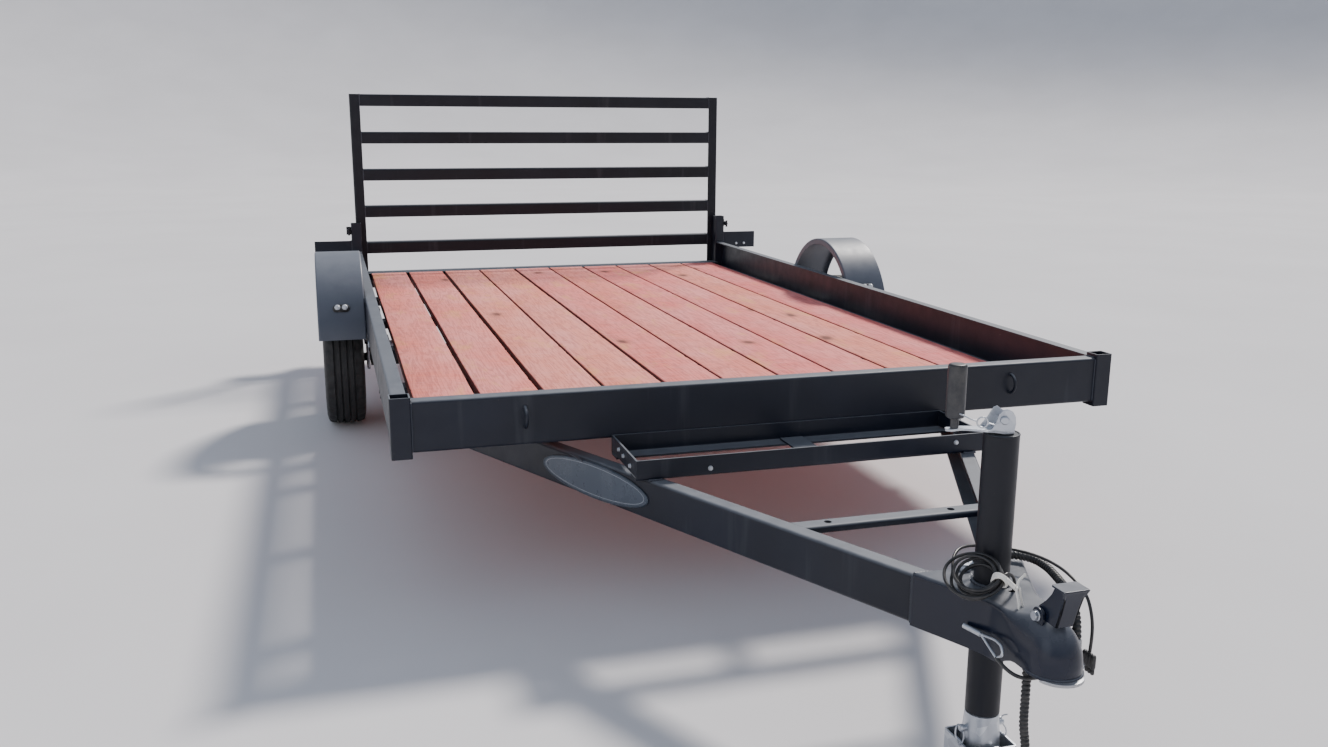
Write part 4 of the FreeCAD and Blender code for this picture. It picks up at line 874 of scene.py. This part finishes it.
tail_red, tail_clear, marker_base, marker_lens, tail_rims = (Group() for k in range(5))
marker_turn = math.radians(62)  # from the fender's top towards the front
for s in (-1, 1):
    centre = Vector((s * 0.896, bed_rear + 0.0010, 0.450))
    axes = (X * s, Z, Y)
    tail_red.slab(centre, *axes, 0.088, 0.052, 0.007,
                  [(0, 0), (0, 0.0055), (0.0008, 0.0075), (0.0026, 0.0092), (0.0060, 0.0102), (0.013, 0.0108)])
    for k in range(-4, 5):
        tail_red.slab(centre + Vector((s * k * 0.0082, 0.0106, 0.004)), *axes, 0.0016, 0.034, 0.0007,
                      [(0, 0), (0.0001, 0.0006), (0.0004, 0.0010)])
    tail_clear.slab(centre + Vector((0, 0.0100, -0.0185)), *axes, 0.046, 0.0095, 0.003,
                    [(0, 0), (0, 0.0022), (0.0009, 0.0030)])
    tail_rims.slab(centre - Y * 0.0012, *axes, 0.0955, 0.0595, 0.009,
                   [(0.0004, 0), (0, 0.0010), (0, 0.0034), (0.0009, 0.0042), (0.0024, 0.0042), (0.0030, 0.0030)])
    for x in (-0.034, 0.034):
        tail_clear.turned([(0.0030, 0), (0.0030, 0.0012), (0.0022, 0.0020), (0.0004, 0.0020)],
                          centre + Vector((s * x, 0.0106, 0.0185)), Y, 16)
    up = Vector((0, -math.sin(marker_turn), math.cos(marker_turn)))
    along = Vector((0, -up.z, up.y))
    at = Vector((s * 0.8703, axle.y, fender_centre)) + up * 0.2753
    marker_base.slab(at, X * s, along * s, up, 0.050, 0.022, 0.0108,
                     [(0, 0), (0, 0.004), (0.0008, 0.0056), (0.0026, 0.0064), (0.004, 0.0064)])
    marker_base.slab(at, X * s, along * s, up, 0.046, 0.018, 0.0088, [(0, 0.004), (0, 0.0124), (0.0012, 0.0132)])
    for x in (-0.0108, 0.0108):
        marker_lens.turned([(0.0086, 0.0122), (0.0086, 0.0138), (0.0076, 0.0160), (0.0052, 0.0176),
                            (0.0024, 0.0184), (0.0004, 0.0186)], at + X * (s * x), up, 28)
smooth_by_angle(tail_red.piece("tail_lamp_lenses", red_lens, "tail_lens"))
smooth_by_angle(tail_clear.piece("tail_lamp_windows", clear_lens, "tail_lens"))
smooth_by_angle(tail_rims.piece("tail_lamp_rims", housing_plastic, "black_plastic"))
base_piece = marker_base.piece("marker_lamp_bases", housing_plastic, "black_plastic")
smooth_by_angle(base_piece)
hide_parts("marker_lamps")
smooth_by_angle(marker_lens.piece("marker_lamp_lenses", clear_lens, "marker_lens"))

# The oval sign's rolled rim and its pale line, both left blank, on the left beam's outer face
lean = math.atan(tongue_slope)
run = Vector((-math.sin(lean), math.cos(lean), 0))
out_of = Vector((-math.cos(lean), math.sin(lean), 0))
sign_at = Vector((-tongue_x(front - 0.040), front - 0.040, 0.266)) + out_of * 0.0003
for name, length, height, finish, radius, lift in (("sign_rim", 0.1640, 0.0350, sign_edge, 0.0019, 0.0018),
                                                   ("sign_line", 0.1555, 0.0292, sign_line, 0.0009, 0.0021)):
    edge = Group()
    edge.tube(circle(sign_at + out_of * lift, run * length, Z * height, 96), radius, 10)
    edge.piece(name, finish, "sign_blank")


# ---------------------------------------------------------------- jack

crank_turn = math.radians(158)
crank_height = 534.3
crank_along = Vector((math.cos(crank_turn), math.sin(crank_turn), 0))
crank_across = Vector((-crank_along.y, crank_along.x, 0))


def crank_places(points):
    """Places (along, across, up) in millimetres of the turned crank, above the jack's top."""
    return [jack + (crank_along * a + crank_across * b + Z * (crank_height + h)) * MM for a, b, h in points]


def strip(group, centres, widths, thick):
    """A flat strip along centres, with a width at each, as thick as given."""
    points = []
    for k, (centre, width) in enumerate(zip(centres, widths)):
        ahead = (centres[min(k + 1, len(centres) - 1)] - centres[max(k - 1, 0)]).normalized()
        side = ahead.cross(Z).normalized()
        lift = side.cross(ahead).normalized() * (thick / 2)
        for a, b in ((-1, -1), (1, -1), (1, 1), (-1, 1)):
            points.append(centre + side * (a * width / 2) + lift * b)
    group.loft(points, 4)


arm = Group()
reach = [(-17, 9), (-15, 18), (-9, 25), (0, 29), (12, 30), (24, 27), (36, 21), (48, 16), (58, 15), (70, 15),
         (76, 13), (79, 8)]
strip(arm, crank_places([(a, 0, 5.0 if 8 < a < 62 else 3) for a, w in reach]), [w * MM for a, w in reach], 0.0034)
# upright ears folded from the arm, one round and one a slanting tongue
round_ear = [(-14, 0), (-16, 12), (-15, 22), (-11, 29), (-4, 33), (3, 31), (8, 25), (11, 14), (16, 4), (22, 0)]
slanting_ear = [(-12, 0), (-10, 14), (-4, 24), (6, 31), (11, 29), (18, 16), (27, 3), (30, 0)]
for s, profile in ((-1, slanting_ear), (1, round_ear)):
    base = jack + Z * 0.5393 + crank_across * (s * 0.0135 + 0.0013)
    face = [base + crank_along * (a * MM) + Z * (h * MM) for a, h in profile]
    arm.loft(face + [p - crank_across * 0.0026 for p in face], len(face), along=False)
arm.turned([(0.0042, -0.0185), (0.0058, -0.0175), (0.0058, -0.0155), (0.0040, -0.0150), (0.0040, 0.0150),
            (0.0062, 0.0155), (0.0062, 0.0180), (0.0046, 0.0195)], jack + Z * 0.5565, crank_across, 20)
arm_piece = arm.piece("crank_arm", zinc, "zinc")
soft_edges(arm_piece, 0.0006)
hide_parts("jack_crank_arm")
wire = Group()
ring_at = crank_places([(30, 14, 18)])[0]
wire.tube(circle(ring_at, crank_along * 0.0075, Z * 0.0075, 30), 0.0012, 8)
wire.tube(crank_places([(22, 14, 17), (14, 14, 15), (4, 14.6, 20), (0, 15.2, 23)]), 0.0012, 8)
wire.tube(crank_places([(37, 14, 19), (46, 13, 22), (56, 13, 27), (62, 12, 29)]), 0.0012, 8)
smooth_by_angle(wire.piece("crank_spring_wire", zinc, "zinc"))

# Pin through the foot's socket, with its hairpin and ring
foot_wire = Group()
pin_at = jack + Z * 0.081  # in the holes of the foot's socket
foot_wire.turned([(0.0045, -0.036), (0.0060, -0.034), (0.0060, -0.031), (0.0045, -0.030), (0.0045, 0.036),
                  (0.0035, 0.038)], pin_at, X, 18)
hairpin = [(33, 0, 8), (33, 2, 1), (33, 3, -8), (34, 2, -18), (37, -1, -25), (41, -4, -22), (42, -3, -12),
           (38, 1, -4), (35, 3, 2), (38, 1, 9), (43, -3, 12)]
bail = [(-33, 0, 1), (-39, -2, 8), (-45, -5, 6), (-47, -7, -4), (-44, -9, -15), (-39, -9, -22), (-34, -8, -16),
        (-32, -6, -7), (-33, -2, -1)]
for places, radius in ((hairpin, 0.0011), (bail, 0.0012)):
    foot_wire.tube(smooth_line([pin_at + Vector(place) * MM for place in places]), radius, 8)
smooth_by_angle(foot_wire.piece("foot_pin_and_wire", zinc, "zinc", "jack_inner"))

# Bead round the jack's cap, and the foot's welds
cap = Group()
cap.tube(circle(jack + Z * 0.5335, X * 0.0243, Y * 0.0243, 72), 0.0017, 8)
cap.piece("jack_cap_edge", jack_paint, "frame_paint")
foot_weld = Group()
for k in range(4):
    turn = Matrix.Rotation(math.pi / 2 * k, 3, "Z")
    start, end = (jack + turn @ Vector((x, -0.0362, 0.0625)) for x in (-0.010, 0.010))
    foot_weld.bead(start, end, 0.0018)
foot_weld.piece("foot_welds", zinc, "zinc", "jack_inner")


# ---------------------------------------------------------------- coupler

def swell(value, low, high):
    """0 below low and 1 above high, with a smooth rise between."""
    t = min(1.0, max(0.0, (value - low) / (high - low)))
    return t * t * (3 - 2 * t)


def coupler_shell():
    """The pressed shell in millimetres: the tongue's A narrowing to a neck, its top rounding over into an
    egg-shaped nose. Rows go from its lower edge up and over, each from the rear left round to the rear right."""
    stations = [215, 205, 190, 175, 155, 135, 120, 110, 102, 95, 88, 80, 70, 60, 50, 40, 30, 20]
    upright_rows, bent_rows = 6, 12
    nose_half, neck_back, neck_blend = 38, 95.6, 12
    flat_bottom, nose_bottom, flat_top, nose_top = 227, 248, 310.3, 316.3
    edge_radius, nose_rise, nose_inset = 7, 52, 34

    def place(back, level):
        """How far in and how high a row lies, some way back from the ball."""
        bend = math.radians(90 * max(0, level - upright_rows) / bent_rows)
        nose = 1 - swell(back, 14, 74)
        lower = flat_bottom + (nose_bottom - flat_bottom) * (1 - swell(back, 30, 82))
        top = flat_top + (nose_top - flat_top) * (1 - swell(back, 24, 60))
        rise = edge_radius + (nose_rise - edge_radius) * nose
        inset = (edge_radius + (nose_inset - edge_radius) * nose) * (1 - math.cos(bend))
        upright = min(level, upright_rows) / upright_rows
        return inset, lower + (top - rise - lower) * upright + rise * math.sin(bend)

    rows = []
    for level in range(upright_rows + bent_rows + 1):
        row = []
        for back in stations:
            inset, height = place(back, level)
            past = back - neck_back
            wide = nose_half + tongue_slope * (past + math.hypot(past, neck_blend)) / 2
            row.append((-(wide - inset), back, height))
        inset, height = place(0, level)
        centre = 11 * max(0.0, (height - 262) / 54) ** 1.4
        for turn in (math.radians(-90 + 180 * k / 28) for k in range(29)):
            row.append(((nose_half - inset) * math.sin(turn), centre - (nose_half - inset) * math.cos(turn), height))
        row += [(-x, y, z) for x, y, z in row[:len(stations)][::-1]]
        rows.append(row)
    count = len(rows[0])
    points = [ball + Vector((x * MM, y * MM, z * MM - ball.z)) for row in rows for x, y, z in row]
    faces = quads(len(rows), count, wrap=False)
    last = (len(rows) - 1) * count
    for j in range(count // 2):
        k = count - 1 - j
        faces.append(tuple(dict.fromkeys((last + j, last + j + 1, last + k - 1, last + k))))
    return points, faces


def cut_shell(points, faces, cutters):
    """The shell given its thickness, with a hole cut by each group."""
    def plain(name, where, sides):
        data = bpy.data.meshes.new(name)
        data.from_pydata([tuple(p) for p in where], [], sides)
        data.validate()
        return link(bpy.data.objects.new(name, data))
    shell = plain("shell", points, faces)
    thick = shell.modifiers.new("thick", "SOLIDIFY")
    thick.thickness = shell_thickness
    thick.offset = -1.0
    thick.use_even_offset = False
    tools = [plain("cutter", cutter.points, cutter.faces) for cutter in cutters]
    for tool in tools:
        hole = shell.modifiers.new("hole", "BOOLEAN")
        hole.operation = "DIFFERENCE"
        hole.object = tool
        hole.solver = "EXACT"
    made = bpy.data.meshes.new_from_object(shell.evaluated_get(bpy.context.evaluated_depsgraph_get()))
    for obj in tools + [shell]:
        bpy.data.objects.remove(obj)
    return [v.co.copy() for v in made.vertices], [tuple(p.vertices) for p in made.polygons]


# the jack's tube and the lead pass through the shell's top
shell_thickness, top_height = 0.0045, 0.309
passage, slot = Group(), Group()
passage.turned([(0.0259, -0.02), (0.0259, 0.02)], jack + Z * top_height, Z, 64)
slot.slab(jack + Vector((0.012, -0.039, top_height)), X, Y, Z, 0.016, 0.007, 0.0032, [(0, -0.015), (0, 0.015)])
shell_piece = mesh_piece("coupler_shell", *cut_shell(*coupler_shell(), [passage, slot]), coupler_paint,
                         "coupler_paint")
smooth_by_angle(shell_piece, 40)
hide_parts("coupler_housing")
ears = Group()
for s in (-1, 1):
    ears.slab(ball + Vector((s * 0.0168, 0.015, 0.0460)), Y, Z, X, 0.022, 0.0326, 0.0090,
              [(0.0006, -0.0025), (0, -0.0019), (0, 0.0019), (0.0006, 0.0025)])
smooth_by_angle(ears.piece("latch_ears", coupler_paint, "coupler_paint"))
cup = Group()
dome = [math.radians(15 * k) for k in range(6)]
cup.turned([(0.0008, 0.0285)] + [(0.0290 * math.cos(a), 0.0285 * math.sin(a)) for a in dome[::-1]]
           + [(0.0345, -0.0195), (0.0340, -0.0212), (0.0262, -0.0216), (0.0258, -0.0205)]
           + [(0.0258 * math.cos(a), 0.0258 * math.sin(a)) for a in dome] + [(0.0008, 0.0258)], ball, Z, 48)
smooth_by_angle(cup.piece("socket_cup", worn_steel, "coupler_paint"))

# The latch's lever: a folded channel with a flared lip along its top
lever = Group()


def lever_half(height):
    """Half the lever's width, which flares towards its top."""
    return 0.0138 + 0.0022 * max(0, height - 30) / 21


cheek = [(10, -4.4), (10, 6), (4, 13), (-8, 24), (-20, 38), (-27, 50), (-50, 51), (-47, 40), (-41, 20), (-34, -4.4)]
for s in (-1, 1):
    outer = [pivot + Vector((s * lever_half(h), a * MM, h * MM)) for a, h in cheek]
    lever.loft(outer + [p - X * (s * 0.0026) for p in outer], len(cheek), flip=s > 0)
web = []
for a, h in ((-34, -4.4), (-41, 20), (-47, 40), (-51, 50.5), (-52, 53.0)):
    wide = lever_half(h) + (0.0035 if h > 50 else 0)
    web += [pivot + Vector((x, y * MM, h * MM))
            for x, y in ((-wide, a), (wide, a), (wide, a + 2.8), (-wide, a + 2.8))]
lever.loft(web, 4, along=False)
lever.slab(pivot + Vector((0, -0.0375, 0.0523)), X, Y, Z, 0.0390, 0.0290, 0.004,
           [(0.0003, -0.0013), (0, -0.0010), (0, 0.0010), (0.0003, 0.0013)])
lever.turned([(0.0048, -0.0190), (0.0048, 0.0190)], pivot, X, 20)
lever_piece = lever.piece("latch_lever", coupler_paint, "coupler_paint")
soft_edges(lever_piece, 0.0007)
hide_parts("coupler_latch")

# Lip round the ball socket's mouth, and the guard's lip under the nose
lip = Group()
lip.tube(circle(ball + Vector((0, -0.0006, -0.0212)), X * 0.0372, Y * 0.0372, 72), 0.0026, 10)
lip.piece("socket_lip", coupler_paint, "coupler_paint")
guard = Group()
fan = []
for k in range(13):
    a = math.radians(-150 + 120 * k / 12)
    out = 0.0385 + 0.0075 * math.sin(math.pi * k / 12)
    fan += [ball + Vector((r * math.cos(a), r * math.sin(a), z))
            for r, z in ((0.036, -0.0200), (out, -0.0222), (out, -0.0262), (0.036, -0.0236))]
guard.loft(fan, 4)
smooth_by_angle(guard.piece("ball_guard_lip", worn_steel, "coupler_paint"), 50)


# ---------------------------------------------------------------- floor and light

def floor_material():
    skin = Skin("studio_floor")
    colour = skin.mix(skin.remap(skin.grain(0.8, 4), 0.35, 0.65), (0.69, 0.675, 0.68), (0.73, 0.715, 0.72))
    skin.join(colour, skin.shader.inputs["Base Color"])
    skin.join(0.9, skin.shader.inputs["Roughness"])
    return skin.material


# A flat disc that sweeps up all round into a pale backdrop, far outside the trailer
flat_reach, sweep_radius, around = 14.0, 16.0, 96
profile = [(9.0, 0.0)] + [(flat_reach + sweep_radius * math.sin(a), sweep_radius - sweep_radius * math.cos(a))
                          for a in (math.pi / 3 * k / 16 for k in range(17))]
floor_data = bpy.data.meshes.new("studio_floor")
floor_data.from_pydata([(r * math.cos(a), r * math.sin(a), z) for r, z in profile
                        for a in (2 * math.pi * k / around for k in range(around))], [],
                       [tuple(range(around))] + quads(len(profile), around, along=True))
floor_data.polygons.foreach_set("use_smooth", [True] * len(floor_data.polygons))
floor_data.materials.append(floor_material())
floor = link(bpy.data.objects.new("studio_floor", floor_data))
floor.location.z = -0.0006

world = bpy.data.worlds.new("studio_world")
world.use_nodes = True
world.node_tree.nodes["Background"].inputs[0].default_value = (0.67, 0.76, 0.93, 1)
world.node_tree.nodes["Background"].inputs[1].default_value = 0.62
bpy.context.scene.world = world


def light(name, kind, place, target, power, colour, **settings):
    data = bpy.data.lights.new(name, kind)
    data.energy = power
    data.color = colour
    for key, value in settings.items():
        setattr(data, key, value)
    obj = link(bpy.data.objects.new(name, data))
    obj.location = place
    obj.rotation_euler = (Vector(target) - Vector(place)).to_track_quat("-Z", "Y").to_euler()


light("key_light", "SUN", (5.0, 4.6, 6.5), (0, 0, 0), 4.5, (1.0, 0.945, 0.90), angle=math.radians(9))
light("fill_light", "AREA", (-4.5, -4.0, 3.2), (0, -0.5, 0.3), 30, (0.86, 0.92, 1.0), shape="DISK", size=4.0)
